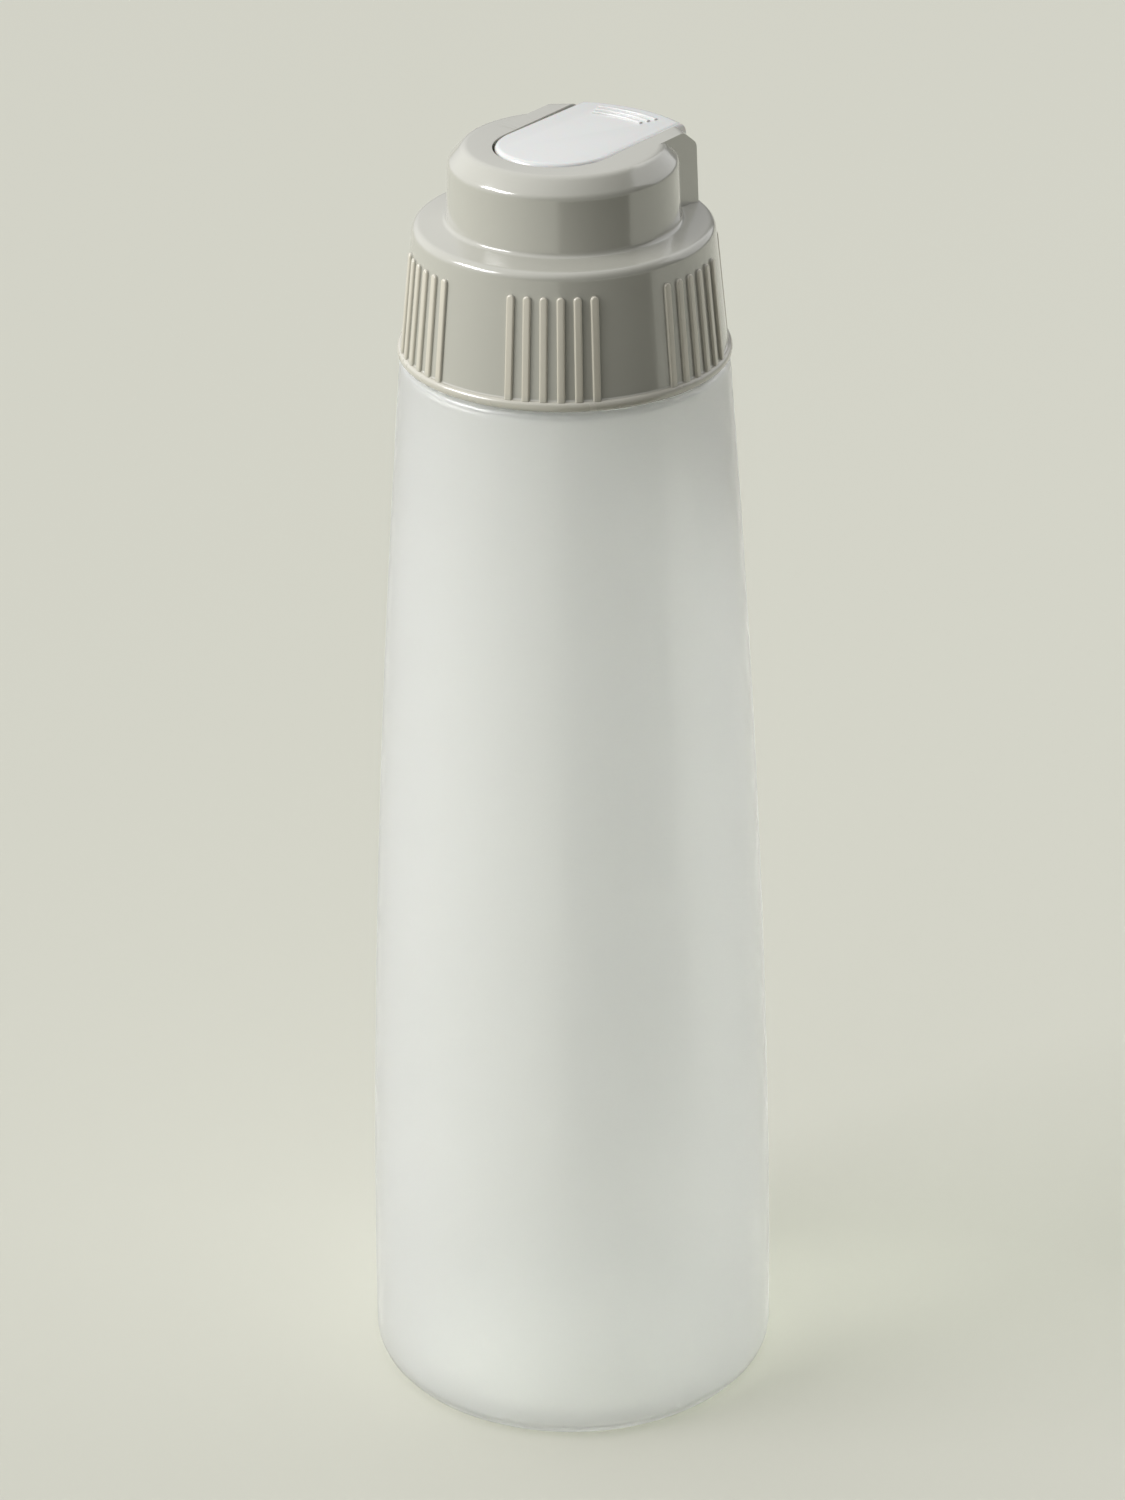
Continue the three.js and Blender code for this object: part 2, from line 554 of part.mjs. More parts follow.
const sauceBottle = new THREE.Group();
sauceBottle.add(piece('bottle_body', makeBottle(), MILKY_BOTTLE));
sauceBottle.add(piece('packing_ring', makePackingRing(), PALE_PACKING));
sauceBottle.add(piece('screw_cap', makeCap(), GREY_CAP));

// The lever rests a little nose-up on its trunnions, as it lies when it is pressed shut
const leverPivot = new THREE.Group();
leverPivot.position.set(0, PIVOT_Y, PIVOT_Z);
leverPivot.rotation.x = -radians(LEVER_REST_TILT_DEGREES);
leverPivot.add(piece('pour_lever', makeLever(), WHITE_LEVER));
sauceBottle.add(leverPivot);

export default sauceBottle;
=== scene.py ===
# %% [markdown]
# # A milky squeeze bottle with a levered cap
#
# This notebook dresses a sauce bottle whose mechanics are already settled. The bottle is blown from
# polyethylene, the cap and its lever are injection moulded, and a foam ring seals the lip. The frame gives
# each solid's place, and every piece made here stands exactly where its solid is. Lengths are written in
# millimetres and turned to metres once.

# %% Load the frame
from math import atan2, cos, hypot, pi, radians, sin, sqrt

import bmesh
import bpy
from mathutils import Matrix, Vector


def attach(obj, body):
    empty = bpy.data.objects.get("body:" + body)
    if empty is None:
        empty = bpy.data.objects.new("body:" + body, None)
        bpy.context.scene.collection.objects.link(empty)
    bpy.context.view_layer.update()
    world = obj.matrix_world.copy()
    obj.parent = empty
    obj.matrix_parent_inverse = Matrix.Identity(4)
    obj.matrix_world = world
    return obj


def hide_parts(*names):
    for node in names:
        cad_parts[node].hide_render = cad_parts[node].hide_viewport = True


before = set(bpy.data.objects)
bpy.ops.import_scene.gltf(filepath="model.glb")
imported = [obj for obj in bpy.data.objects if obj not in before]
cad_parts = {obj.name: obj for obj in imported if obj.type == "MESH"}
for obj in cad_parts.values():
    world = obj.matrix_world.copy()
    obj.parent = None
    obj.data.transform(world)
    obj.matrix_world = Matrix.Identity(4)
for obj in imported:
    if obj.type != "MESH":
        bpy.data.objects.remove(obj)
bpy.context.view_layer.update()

MM = 0.001
print("nodes:", ", ".join(sorted(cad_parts)))

# %% [markdown]
# ## The camera
#
# The picture was taken from well above the bottle's middle with a long lens. The camera's place and its
# three angles came from fitting the rims of the base, the shoulder and the cap to circles of known radius,
# so the model fills the frame as the real bottle does. The camera comes first because everything after it
# is judged through it.

# %% Place the camera
CAMERA_PLACE = Vector((379.5, -524.2, 445.4)) * MM
CAMERA_HEADING = radians(35.99)
CAMERA_PITCH = radians(27.01)
CAMERA_ROLL = radians(-0.54)
CAMERA_LENS = 104.17

camera_data = bpy.data.cameras.new("camera")
camera_data.lens = CAMERA_LENS
camera_data.clip_start = 0.05
camera_data.clip_end = 100
camera = bpy.data.objects.new("camera", camera_data)
turn = Matrix.Rotation(CAMERA_HEADING, 4, "Z")
tip = Matrix.Rotation(pi / 2 - CAMERA_PITCH, 4, "X")
roll = Matrix.Rotation(CAMERA_ROLL, 4, "Z")
camera.matrix_world = Matrix.Translation(CAMERA_PLACE) @ turn @ tip @ roll
bpy.context.scene.collection.objects.link(camera)
bpy.context.scene.camera = camera
bpy.context.scene.view_settings.view_transform = "Standard"
print("camera", round(CAMERA_PLACE.length, 3), "m from the foot of the bottle, lens", CAMERA_LENS, "mm")

# %% [markdown]
# ## Colours and nodes
#
# Colours are written as sRGB hex, the way a picture editor shows them, and one function turns them to the
# linear values that the shader wants. One more adds a node with its settings and links, so that each
# material below reads as a short list.

# %% Colour and node helpers
def linear(hex_colour):
    """Turn an sRGB hex colour into linear RGBA."""
    channels = [int(hex_colour[i:i + 2], 16) / 255 for i in (1, 3, 5)]
    return [c / 12.92 if c <= 0.04045 else ((c + 0.055) / 1.055) ** 2.4 for c in channels] + [1.0]


def add_node(tree, kind, links=(), inputs=None, **settings):
    """Add a node: settings are its properties, inputs its socket values, links (socket, source socket)."""
    node = tree.nodes.new(kind)
    for name, value in settings.items():
        setattr(node, name, value)
    for name, value in (inputs or {}).items():
        node.inputs[name].default_value = value
    for name, source in links:
        tree.links.new(source, node.inputs[name])
    return node


def new_material(name):
    """An empty node material with its output node."""
    material = bpy.data.materials.new(name)
    material.use_nodes = True
    material.node_tree.nodes.clear()
    return material, material.node_tree, material.node_tree.nodes.new("ShaderNodeOutputMaterial")


print("middle grey #808080 is", round(linear("#808080")[0], 3), "in linear light")

# %% [markdown]
# ## Blow-moulded polyethylene
#
# The body is natural low-density polyethylene. It has no pigment: tiny crystals in the plastic scatter the
# light, so it looks milky and lets the ground show through as a blur. Blowing stretches the wall unevenly,
# which leaves a faint cloudiness tens of millimetres wide, and the mould's sandblasted wall leaves a satin
# skin with a grain of a few tenths of a millimetre. The grain is drawn at 0.5 mm, coarse enough to show.
#
# Rough transmission and scattering give the milk. On their own they would make a grey bottle with a heavy
# shadow, because lamp light isn't sent through such a wall. So most of each shadow ray passes as if the
# wall were clear. The light then gets inside, and the bottle throws the soft shadow that milky plastic does.

# %% Milky polyethylene
MILKY_WHITE = "#FBFCFA"
MILKY_SHADE = "#F8F9F7"
CLOUD_SIZE_MM = 60
SATIN_GRAIN_MM = 0.5
LIGHT_LET_THROUGH = 0.86


def milky_polyethylene():
    """The body's plastic: rough glass with scattering inside, and a satin skin."""
    material, tree, output = new_material("milky_blown_polyethylene")
    place = add_node(tree, "ShaderNodeTexCoord")
    cloud = add_node(tree, "ShaderNodeTexNoise", [("Vector", place.outputs["Object"])],
                     {"Scale": 1 / (CLOUD_SIZE_MM * MM), "Detail": 2.0, "Roughness": 0.4})
    colour = add_node(tree, "ShaderNodeMix", [("Factor", cloud.outputs["Fac"])], data_type="RGBA")
    colour.inputs[6].default_value = linear(MILKY_SHADE)
    colour.inputs[7].default_value = linear(MILKY_WHITE)
    grain = add_node(tree, "ShaderNodeTexNoise", [("Vector", place.outputs["Object"])],
                     {"Scale": 1 / (SATIN_GRAIN_MM * MM), "Detail": 1.0})
    bump = add_node(tree, "ShaderNodeBump", [("Height", grain.outputs["Fac"])],
                    {"Strength": 0.06, "Distance": 0.05 * MM})
    wall = add_node(tree, "ShaderNodeBsdfPrincipled",
                    [("Base Color", colour.outputs[2]), ("Normal", bump.outputs["Normal"])],
                    {"Roughness": 0.35, "IOR": 1.51, "Transmission Weight": 0.75,
                     "Coat Weight": 0.5, "Coat Roughness": 0.15,
                     "Subsurface Weight": 1.0, "Subsurface Scale": 6.0 * MM,
                     "Subsurface Radius": (1.0, 1.0, 1.0)})
    clear = add_node(tree, "ShaderNodeBsdfTransparent", inputs={"Color": linear(MILKY_WHITE)})
    path = add_node(tree, "ShaderNodeLightPath")
    share = add_node(tree, "ShaderNodeMath", [(0, path.outputs["Is Shadow Ray"])],
                     {1: LIGHT_LET_THROUGH}, operation="MULTIPLY")
    surface = add_node(tree, "ShaderNodeMixShader", [("Fac", share.outputs["Value"]),
                                                     (1, wall.outputs["BSDF"]), (2, clear.outputs["BSDF"])])
    tree.links.new(surface.outputs["Shader"], output.inputs["Surface"])
    return material


print("milky wall lets", LIGHT_LET_THROUGH, "of a lamp's light through, clouds", CLOUD_SIZE_MM, "mm wide")

# %% [markdown]
# ## Injection-moulded polypropylene
#
# The cap and the lever are polypropylene from a polished mould, the cap pigmented warm grey and the lever
# white. Polypropylene shrinks a little as it cools, so large faces carry a very shallow waviness that bends
# their reflections. The waviness is about 6 mm from crest to crest. The skin froze against polished steel
# and is glossier than the plastic under it, so a thin coat lies over a softer base. Finger wear shows as
# patches that are a touch rougher.

# %% Moulded polypropylene
CAP_GREY = "#B2B1A7"
LEVER_WHITE = "#D7D8D6"
WAVINESS_MM = 6
WEAR_PATCH_MM = 9


def moulded_polypropylene(name, hex_colour, roughness, wear, scatter):
    """A polished moulding's plastic. Wear is what finger patches add to the roughness."""
    material, tree, output = new_material(name)
    place = add_node(tree, "ShaderNodeTexCoord")
    wave = add_node(tree, "ShaderNodeTexNoise", [("Vector", place.outputs["Object"])],
                    {"Scale": 1 / (WAVINESS_MM * MM), "Detail": 0.0})
    bump = add_node(tree, "ShaderNodeBump", [("Height", wave.outputs["Fac"])],
                    {"Strength": 0.12, "Distance": 0.02 * MM})
    patch = add_node(tree, "ShaderNodeTexNoise", [("Vector", place.outputs["Object"])],
                     {"Scale": 1 / (WEAR_PATCH_MM * MM), "Detail": 3.0})
    gloss = add_node(tree, "ShaderNodeMapRange", [("Value", patch.outputs["Fac"])],
                     {"From Min": 0.35, "From Max": 0.75, "To Min": roughness, "To Max": roughness + wear})
    surface = add_node(tree, "ShaderNodeBsdfPrincipled",
                       [("Roughness", gloss.outputs["Result"]), ("Normal", bump.outputs["Normal"])],
                       {"Base Color": linear(hex_colour), "IOR": 1.49, "Specular IOR Level": 0.9,
                        "Coat Weight": 0.7, "Coat Roughness": 0.11,
                        "Subsurface Weight": scatter, "Subsurface Scale": 1.0 * MM})
    tree.links.new(surface.outputs["BSDF"], output.inputs["Surface"])
    return material


print("polypropylene waves", WAVINESS_MM, "mm apart, worn patches", WEAR_PATCH_MM, "mm wide")

# %% [markdown]
# ## Foamed polyethylene
#
# The packing ring is punched from a sheet of fine foam: matte, off-white, with closed cells about 0.3 mm
# across that show as a soft dimpled surface.

# %% Packing foam
FOAM_WHITE = "#E6E6DF"
FOAM_CELL_MM = 0.3


def packing_foam():
    """The matte foam, dimpled by its cells."""
    material, tree, output = new_material("foamed_polyethylene")
    place = add_node(tree, "ShaderNodeTexCoord")
    cells = add_node(tree, "ShaderNodeTexVoronoi", [("Vector", place.outputs["Object"])],
                     {"Scale": 1 / (FOAM_CELL_MM * MM)})
    bump = add_node(tree, "ShaderNodeBump", [("Height", cells.outputs["Distance"])],
                    {"Strength": 0.3, "Distance": 0.05 * MM})
    surface = add_node(tree, "ShaderNodeBsdfPrincipled", [("Normal", bump.outputs["Normal"])],
                       {"Base Color": linear(FOAM_WHITE), "Roughness": 0.8})
    tree.links.new(surface.outputs["BSDF"], output.inputs["Surface"])
    return material


print("foam cells", FOAM_CELL_MM, "mm")

# %% [markdown]
# ## From points to an object
#
# Everything on this bottle was turned, blown or moulded, so a few moves make nearly all of it. They start
# from profiles: lists of (radius, height) pairs with round corners given as arcs. A spin of a few points is
# much easier to change than a mesh pushed about by hand. These helpers turn points into a loop of edges, and
# a finished mesh into an object whose faces look outwards.

# %% Arcs, loops and objects
ARC_STEPS = 6


def arc(centre_r, centre_z, radius, start, stop, steps=ARC_STEPS):
    """Points of a round corner between two angles in degrees."""
    angles = [radians(start + (stop - start) * i / steps) for i in range(steps + 1)]
    return [(centre_r + radius * cos(a), centre_z + radius * sin(a)) for a in angles]


def loop_of(bm, points):
    """A closed loop of edges through points in metres."""
    verts = [bm.verts.new(p) for p in points]
    return [bm.edges.new((a, b)) for a, b in zip(verts, verts[1:] + verts[:1])]


def as_object(bm, name):
    """Close a bmesh into a new object whose faces point outwards."""
    bmesh.ops.remove_doubles(bm, verts=bm.verts, dist=1e-6)
    bmesh.ops.dissolve_degenerate(bm, edges=bm.edges, dist=1e-7)
    bmesh.ops.recalc_face_normals(bm, faces=bm.faces)
    mesh = bpy.data.meshes.new(name)
    bm.to_mesh(mesh)
    bm.free()
    made = bpy.data.objects.new(name, mesh)
    bpy.context.scene.collection.objects.link(made)
    return made


print("a round corner has", ARC_STEPS, "steps unless it says otherwise")

# %% [markdown]
# ## Spin and extrude
#
# A turned form is its profile spun round the axis. The same spin with a rise in each step makes a screw
# thread. A moulded tongue or rib is an outline raised to a height, with its upper rim rounded by a bevel,
# because no moulded edge is sharp.

# %% Spin and extrude
ROUND_STEPS = 160


def spun(name, profile, steps=ROUND_STEPS, sweep=360, rise=0.0, capped=False):
    """Spin a closed (radius, height) profile round Z. A rise makes the turn a helix."""
    bm = bmesh.new()
    edges = loop_of(bm, [(r * MM, 0, z * MM) for r, z in profile])
    if capped:
        edges += bmesh.ops.contextual_create(bm, geom=edges)["faces"]
    geometry = edges + list(bm.verts)
    bmesh.ops.spin(bm, geom=geometry, cent=(0, 0, 0), axis=(0, 0, 1), dvec=(0, 0, rise * MM / steps),
                   angle=radians(sweep), steps=steps, use_merge=rise == 0)
    return as_object(bm, name)


def extruded(name, outline, low, high, edge=0.0, edge_steps=4):
    """Extrude a closed (x, y) outline from one height to another, with its upper rim rounded by edge."""
    bm = bmesh.new()
    loop = loop_of(bm, [(x * MM, y * MM, low * MM) for x, y in outline])
    base = bmesh.ops.contextual_create(bm, geom=loop)["faces"]
    raised = bmesh.ops.extrude_face_region(bm, geom=base)["geom"]
    top = [item for item in raised if isinstance(item, bmesh.types.BMVert)]
    bmesh.ops.translate(bm, verts=top, vec=(0, 0, (high - low) * MM))
    if edge:
        rims = [e for e in bm.edges if abs(e.verts[0].co.z - e.verts[1].co.z) < 1e-7
                and abs(e.verts[0].co.z - high * MM) < 1e-7]
        bmesh.ops.bevel(bm, geom=rims, offset=edge * MM, segments=edge_steps, profile=0.5, affect="EDGES",
                        material=-1)
    return as_object(bm, name)


print("a full turn has", ROUND_STEPS, "steps")

# %% [markdown]
# ## Boxes and rods
#
# Seats, bearings, bores and pins are made from the two plainest solids: a box between two corners and a
# round rod between two points.

# %% Boxes and rods
ROD_STEPS = 48


def box(name, low, high):
    """A box between two corners."""
    bm = bmesh.new()
    bmesh.ops.create_cube(bm, size=1.0)
    size = [(b - a) * MM for a, b in zip(low, high)]
    middle = [(a + b) / 2 * MM for a, b in zip(low, high)]
    bmesh.ops.scale(bm, verts=bm.verts, vec=size)
    bmesh.ops.translate(bm, verts=bm.verts, vec=middle)
    return as_object(bm, name)


def rod(name, radius, start, stop, steps=ROD_STEPS):
    """A round rod between two points."""
    a, b = Vector(start) * MM, Vector(stop) * MM
    bm = bmesh.new()
    place = Matrix.Translation((a + b) / 2) @ (b - a).to_track_quat("Z", "Y").to_matrix().to_4x4()
    bmesh.ops.create_cone(bm, cap_ends=True, segments=steps, radius1=radius * MM, radius2=radius * MM,
                          depth=(b - a).length, matrix=place)
    return as_object(bm, name)


print("a rod has", ROD_STEPS, "sides unless it says otherwise")

# %% [markdown]
# ## Join, cut and turn
#
# A moulding is one solid, so its forms are joined into one mesh and its pockets cut out of it. The exact
# solver is slower than the fast one, but it keeps thin walls whole. Each step is applied at once, so no
# piece ends with a modifier. A piece that is modelled level or at the front is turned into place afterwards,
# and its object stays at the origin.

# %% Join, cut and turn
def evaluated_mesh(made):
    """Replace an object's mesh by what its modifiers make of it, and drop the modifiers."""
    graph = bpy.context.evaluated_depsgraph_get()
    fresh = bpy.data.meshes.new_from_object(made.evaluated_get(graph))
    made.modifiers.clear()
    made.data = fresh
    return made


def combine(made, others, operation):
    """Join, cut or keep the overlap with each other object in turn, and remove the tools."""
    for other in others:
        step = made.modifiers.new(operation.lower(), "BOOLEAN")
        step.operation = operation
        step.solver = "EXACT"
        step.object = other
        evaluated_mesh(made)
        bpy.data.objects.remove(other)
    return made


def joined(objects, name):
    """Gather separate solids into one object, for one boolean."""
    bm = bmesh.new()
    for item in objects:
        bm.from_mesh(item.data)
        bpy.data.objects.remove(item)
    mesh = bpy.data.meshes.new(name)
    bm.to_mesh(mesh)
    bm.free()
    made = bpy.data.objects.new(name, mesh)
    bpy.context.scene.collection.objects.link(made)
    return made


def turned(made, matrix):
    """Turn and move a piece's mesh, leaving its object at the origin."""
    made.data.transform(matrix)
    made.data.update()
    return made


print("booleans use the exact solver")

# %% [markdown]
# ## Finish a piece
#
# A finished piece has smooth faces with sharp edges where the angle is steep, and one material. It hangs on
# the empty of the body that carries it, and the solid that it stands for is hidden.

# %% Finish a piece
SHARP_ANGLE = radians(30)


def finish_piece(made, material, body, node):
    """Smooth a piece, give it its material, and put it on its body in place of its solid."""
    made.data.materials.clear()
    made.data.materials.append(material)
    for face in made.data.polygons:
        face.use_smooth = True
        face.material_index = 0
    made.data.set_sharp_from_angle(angle=SHARP_ANGLE)
    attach(made, body)
    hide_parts(node)
    low, high = [Vector(c) / MM for c in (made.bound_box[0], made.bound_box[6])]
    print(made.name, "faces", len(made.data.polygons), "from", [round(v, 1) for v in low],
          "to", [round(v, 1) for v in high])
    return made


print("edges steeper than", round(SHARP_ANGLE, 2), "radians stay sharp")

# %% [markdown]
# ## The bottle's sizes
#
# A parison of soft plastic is clamped in a mould and blown against its walls, so the whole bottle, its
# thread too, is one skin of nearly even thickness. The foot is pushed up, so that the bottle stands on a
# ring and not on a wobbly middle. The neck carries a bead, which stops the cap's inner skirt, and ends in a
# flat lip with soft corners.

# %% Bottle sizes
BODY_RADIUS, BODY_HEIGHT, BODY_WALL, SHOULDER_RADIUS, WAIST_POWER = 35.0, 187.1, 1.0, 26.4, 1.75
BASE_FILLET, BASE_THICKNESS, REST_RING, PUNT_DEPTH = 3.2, 1.5, 3.6, 4.5
SHOULDER_FILLET, SHELF_WIDTH, SHELF_RISE = 1.2, 1.6, 1.4
NECK_RADIUS, NECK_WALL, NECK_HEIGHT, NECK_ROOT_LIFT = 17.5, 2.1, 17.9, 0.84
BEAD_PROUD, BEAD_LIFT, LIP_ROUND, FUNNEL_ROUND, FUNNEL_LIFT = 1.0, 1.8, 0.5, 1.6, 0.6
NECK_TOP = BODY_HEIGHT + NECK_HEIGHT
BORE_RADIUS = NECK_RADIUS - NECK_WALL
print("lip at", round(NECK_TOP, 1), "mm, bore", round(2 * BORE_RADIUS, 1), "mm wide")

# %% [markdown]
# ## The bottle's profile
#
# The side isn't straight: the radius falls with the height to the power 1.75, which gives the slow waist
# from the foot up to the shoulder. The profile goes up the outside and back down the inside, and one full
# spin makes the wall. Following the real wall in this way gives the inside too, which shows through.

# %% Bottle profile
def side_radius(z):
    """The body's radius at a height."""
    return BODY_RADIUS - (BODY_RADIUS - SHOULDER_RADIUS) * (z / BODY_HEIGHT) ** WAIST_POWER


def side(start, stop, inset, steps=28):
    """Points of the waisted side between two heights, moved in by a wall."""
    heights = [start + (stop - start) * i / steps for i in range(steps + 1)]
    return [(side_radius(z) - inset, z) for z in heights]


def punt(rim, rim_z, steps=10):
    """The push-up from the axis to its rim, a shallow dome."""
    dome = (rim ** 2 + PUNT_DEPTH ** 2) / (2 * PUNT_DEPTH)
    radii = [rim * i / steps for i in range(steps + 1)]
    return [(r, rim_z + PUNT_DEPTH - dome + sqrt(dome ** 2 - r ** 2)) for r in radii]


def bottle_profile():
    """The whole wall: up the outside, over the lip and down the inside."""
    ring_outer = BODY_RADIUS - BASE_FILLET
    ring_inner = ring_outer - REST_RING
    fillet_z = BODY_HEIGHT - SHOULDER_FILLET
    fillet_r = side_radius(fillet_z) - SHOULDER_FILLET
    shelf = fillet_r - SHELF_WIDTH
    root_z = BODY_HEIGHT + SHELF_RISE
    bead_z = root_z + BEAD_LIFT
    inner = BASE_FILLET - BODY_WALL
    lip_z = NECK_TOP - LIP_ROUND
    outside = punt(ring_inner, 0) + arc(ring_outer, BASE_FILLET, BASE_FILLET, -90, 0)
    outside += side(BASE_FILLET, fillet_z, 0)[1:-1]
    outside += arc(fillet_r, fillet_z, SHOULDER_FILLET, 0, 90) + [(shelf, BODY_HEIGHT)]
    outside += arc(NECK_RADIUS + SHELF_RISE, root_z + NECK_ROOT_LIFT, SHELF_RISE, 270, 180)
    outside += arc(NECK_RADIUS, bead_z, BEAD_PROUD, -70, 90)
    outside += arc(NECK_RADIUS - LIP_ROUND, lip_z, LIP_ROUND, 0, 90, 4)
    inside = arc(BORE_RADIUS + LIP_ROUND, lip_z, LIP_ROUND, 90, 180, 4)
    inside += arc(BORE_RADIUS + FUNNEL_ROUND, BODY_HEIGHT + FUNNEL_LIFT, FUNNEL_ROUND, 180, 250, 4)
    inside += [(shelf, BODY_HEIGHT - BODY_WALL)]
    inside += arc(fillet_r - BODY_WALL, fillet_z - BODY_WALL, SHOULDER_FILLET, 90, 0)
    inside += side(fillet_z - BODY_WALL, BASE_THICKNESS + inner, BODY_WALL)[1:-1]
    inside += arc(ring_outer, BASE_THICKNESS + inner, inner, 0, -90)
    inside += punt(ring_inner - BODY_WALL, BASE_THICKNESS)[::-1]
    return outside + inside


print("bottle profile", len(bottle_profile()), "points")

# %% [markdown]
# ## The threads
#
# A thread is its ridge profile turned round the axis while it climbs: a spin with a rise. The neck carries
# the male ridge, and the cap's inner skirt the female one, half a pitch lower, so that they lie in each
# other's grooves. Both use one function, so they can't drift apart.

# %% Thread ridges
THREAD_PITCH, THREAD_TURNS, THREAD_PROUD, THREAD_STEPS = 4.23, 1.25, 1.2, 100
THREAD_ROOT, THREAD_CREST, THREAD_SINK, THREAD_GAP, THREAD_TOP_GAP = 2.2, 1.3, 0.25, 0.35, 2.1
NECK_THREAD_START = NECK_TOP - THREAD_TOP_GAP - THREAD_PITCH * THREAD_TURNS
CAP_THREAD_START = NECK_THREAD_START - THREAD_PITCH / 2
INNER_SKIRT_RADIUS = NECK_RADIUS + THREAD_PROUD + THREAD_GAP


def thread_ridge(name, root, inward, start_z):
    """A ridge that stands outwards or inwards from its root radius and climbs a pitch each turn."""
    way = -1 if inward else 1
    foot = root - way * THREAD_SINK
    crest = root + way * THREAD_PROUD
    section = [(foot, start_z - THREAD_ROOT / 2), (crest, start_z - THREAD_CREST / 2),
               (crest, start_z + THREAD_CREST / 2), (foot, start_z + THREAD_ROOT / 2)]
    return spun(name, section, steps=THREAD_STEPS, sweep=360 * THREAD_TURNS,
                rise=THREAD_PITCH * THREAD_TURNS, capped=True)


print("neck thread starts at", round(NECK_THREAD_START, 2), "mm and climbs", THREAD_PITCH, "mm a turn")

# %% [markdown]
# ## Blow the bottle
#
# One spin of the profile makes the bottle, and one join adds its thread. It could also be built as an outer
# skin with a Solidify modifier, but the profile already knows where the wall is thicker: at the base and in
# the neck.

# %% Make the bottle
bottle = spun("blown_bottle", bottle_profile())
combine(bottle, [thread_ridge("neck_thread", NECK_RADIUS, False, NECK_THREAD_START)], "UNION")
finish_piece(bottle, milky_polyethylene(), "bottle", "bottle_body")

# %% [markdown]
# ## The packing ring
#
# A flat foam washer lies on the lip. Its corners are slightly crushed from punching, so its square profile
# has small round corners.

# %% Make the packing ring
LIP_GAP, PACKING_THICKNESS, PACKING_CRUSH, PACKING_SETBACK, PACKING_PLAY = 0.3, 1.2, 0.2, 0.2, 0.3
PACKING_LOW = NECK_TOP + LIP_GAP
PACKING_HIGH = PACKING_LOW + PACKING_THICKNESS
ring_in = BORE_RADIUS + PACKING_SETBACK + PACKING_CRUSH
ring_out = INNER_SKIRT_RADIUS - PACKING_PLAY - PACKING_CRUSH
low_z, high_z = PACKING_LOW + PACKING_CRUSH, PACKING_HIGH - PACKING_CRUSH
washer = (arc(ring_in, low_z, PACKING_CRUSH, 180, 270, 3) + arc(ring_out, low_z, PACKING_CRUSH, -90, 0, 3)
          + arc(ring_out, high_z, PACKING_CRUSH, 0, 90, 3) + arc(ring_in, high_z, PACKING_CRUSH, 90, 180, 3))
packing = spun("foam_packing", washer, steps=96)
finish_piece(packing, packing_foam(), "packing", "packing_ring")

# %% [markdown]
# ## The cap's sizes
#
# The cap is one moulding with two skirts under one deck: the outer one is for the hand, the inner one
# carries the thread. A flange runs round its foot just above the bottle's shoulder. On the deck stands a
# round boss, and behind the boss a block that carries the same form out to a larger radius.

# %% Cap sizes
CAP_GAP, FLANGE_HEIGHT, FLANGE_RADIUS, FLANGE_ROUND, FLANGE_ROOT = 0.3, 1.7, 26.8, 0.75, 0.2
SKIRT_FOOT_RADIUS, SKIRT_TOP_RADIUS, SKIRT_WALL, RIM_ROUND = 26.0, 24.05, 1.5, 0.3
INNER_SKIRT_LENGTH, INNER_SKIRT_WALL, PLENUM_DEPTH, SEALING_LAND = 15.3, 1.3, 1.6, 3.6
DECK_THICKNESS, DECK_FILLET, DECK_DROP, DECK_WALL = 3.0, 1.4, 0.5, 1.5
BOSS_FOOT, BOSS_SHOULDER, BOSS_TOP, BOSS_HEIGHT, BOSS_CHAMFER = 18.5, 18.2, 15.7, 12.2, 2.7
BOSS_ROOT_ROUND, SHOULDER_SOFTNESS, TOP_SOFTNESS = 0.8, 0.6, 0.8
CAP_FLOOR = BODY_HEIGHT + CAP_GAP
FLANGE_TOP = CAP_FLOOR + FLANGE_HEIGHT
DECK_UNDERSIDE = PACKING_HIGH + CAP_GAP
DECK_TOP = DECK_UNDERSIDE + DECK_THICKNESS
SKIRT_TOP = DECK_TOP - DECK_DROP - DECK_FILLET
CAP_TOP = DECK_TOP + BOSS_HEIGHT
SHOULDER_Z = CAP_TOP - BOSS_CHAMFER
print("cap from", round(CAP_FLOOR, 1), "to", round(CAP_TOP, 1), "mm, deck at", round(DECK_TOP, 1))

# %% [markdown]
# ## The cap's profile
#
# One profile gives the shell: up the inside of the two skirts, round the flange, up the tapered skirt and
# over the boss. The boss has a broad soft shoulder that catches a streak of light, so its corners are
# curves and not bare edges.

# %% Cap profile
def softened(points, radius, steps=5):
    """Round the middle corner of three points by a curve that starts and ends a radius away from it."""
    before, middle, after = [Vector(p) for p in points]
    start = middle + (before - middle).normalized() * radius
    stop = middle + (after - middle).normalized() * radius
    curve = []
    for i in range(steps + 1):
        t = i / steps
        curve.append(tuple(start * (1 - t) ** 2 + middle * 2 * t * (1 - t) + stop * t ** 2))
    return curve


def rounded_rim(inner_r, outer_r, z):
    """The lower rim of a skirt, with both corners rounded."""
    return (arc(inner_r + RIM_ROUND, z + RIM_ROUND, RIM_ROUND, 180, 270, 3)
            + arc(outer_r - RIM_ROUND, z + RIM_ROUND, RIM_ROUND, -90, 0, 3))


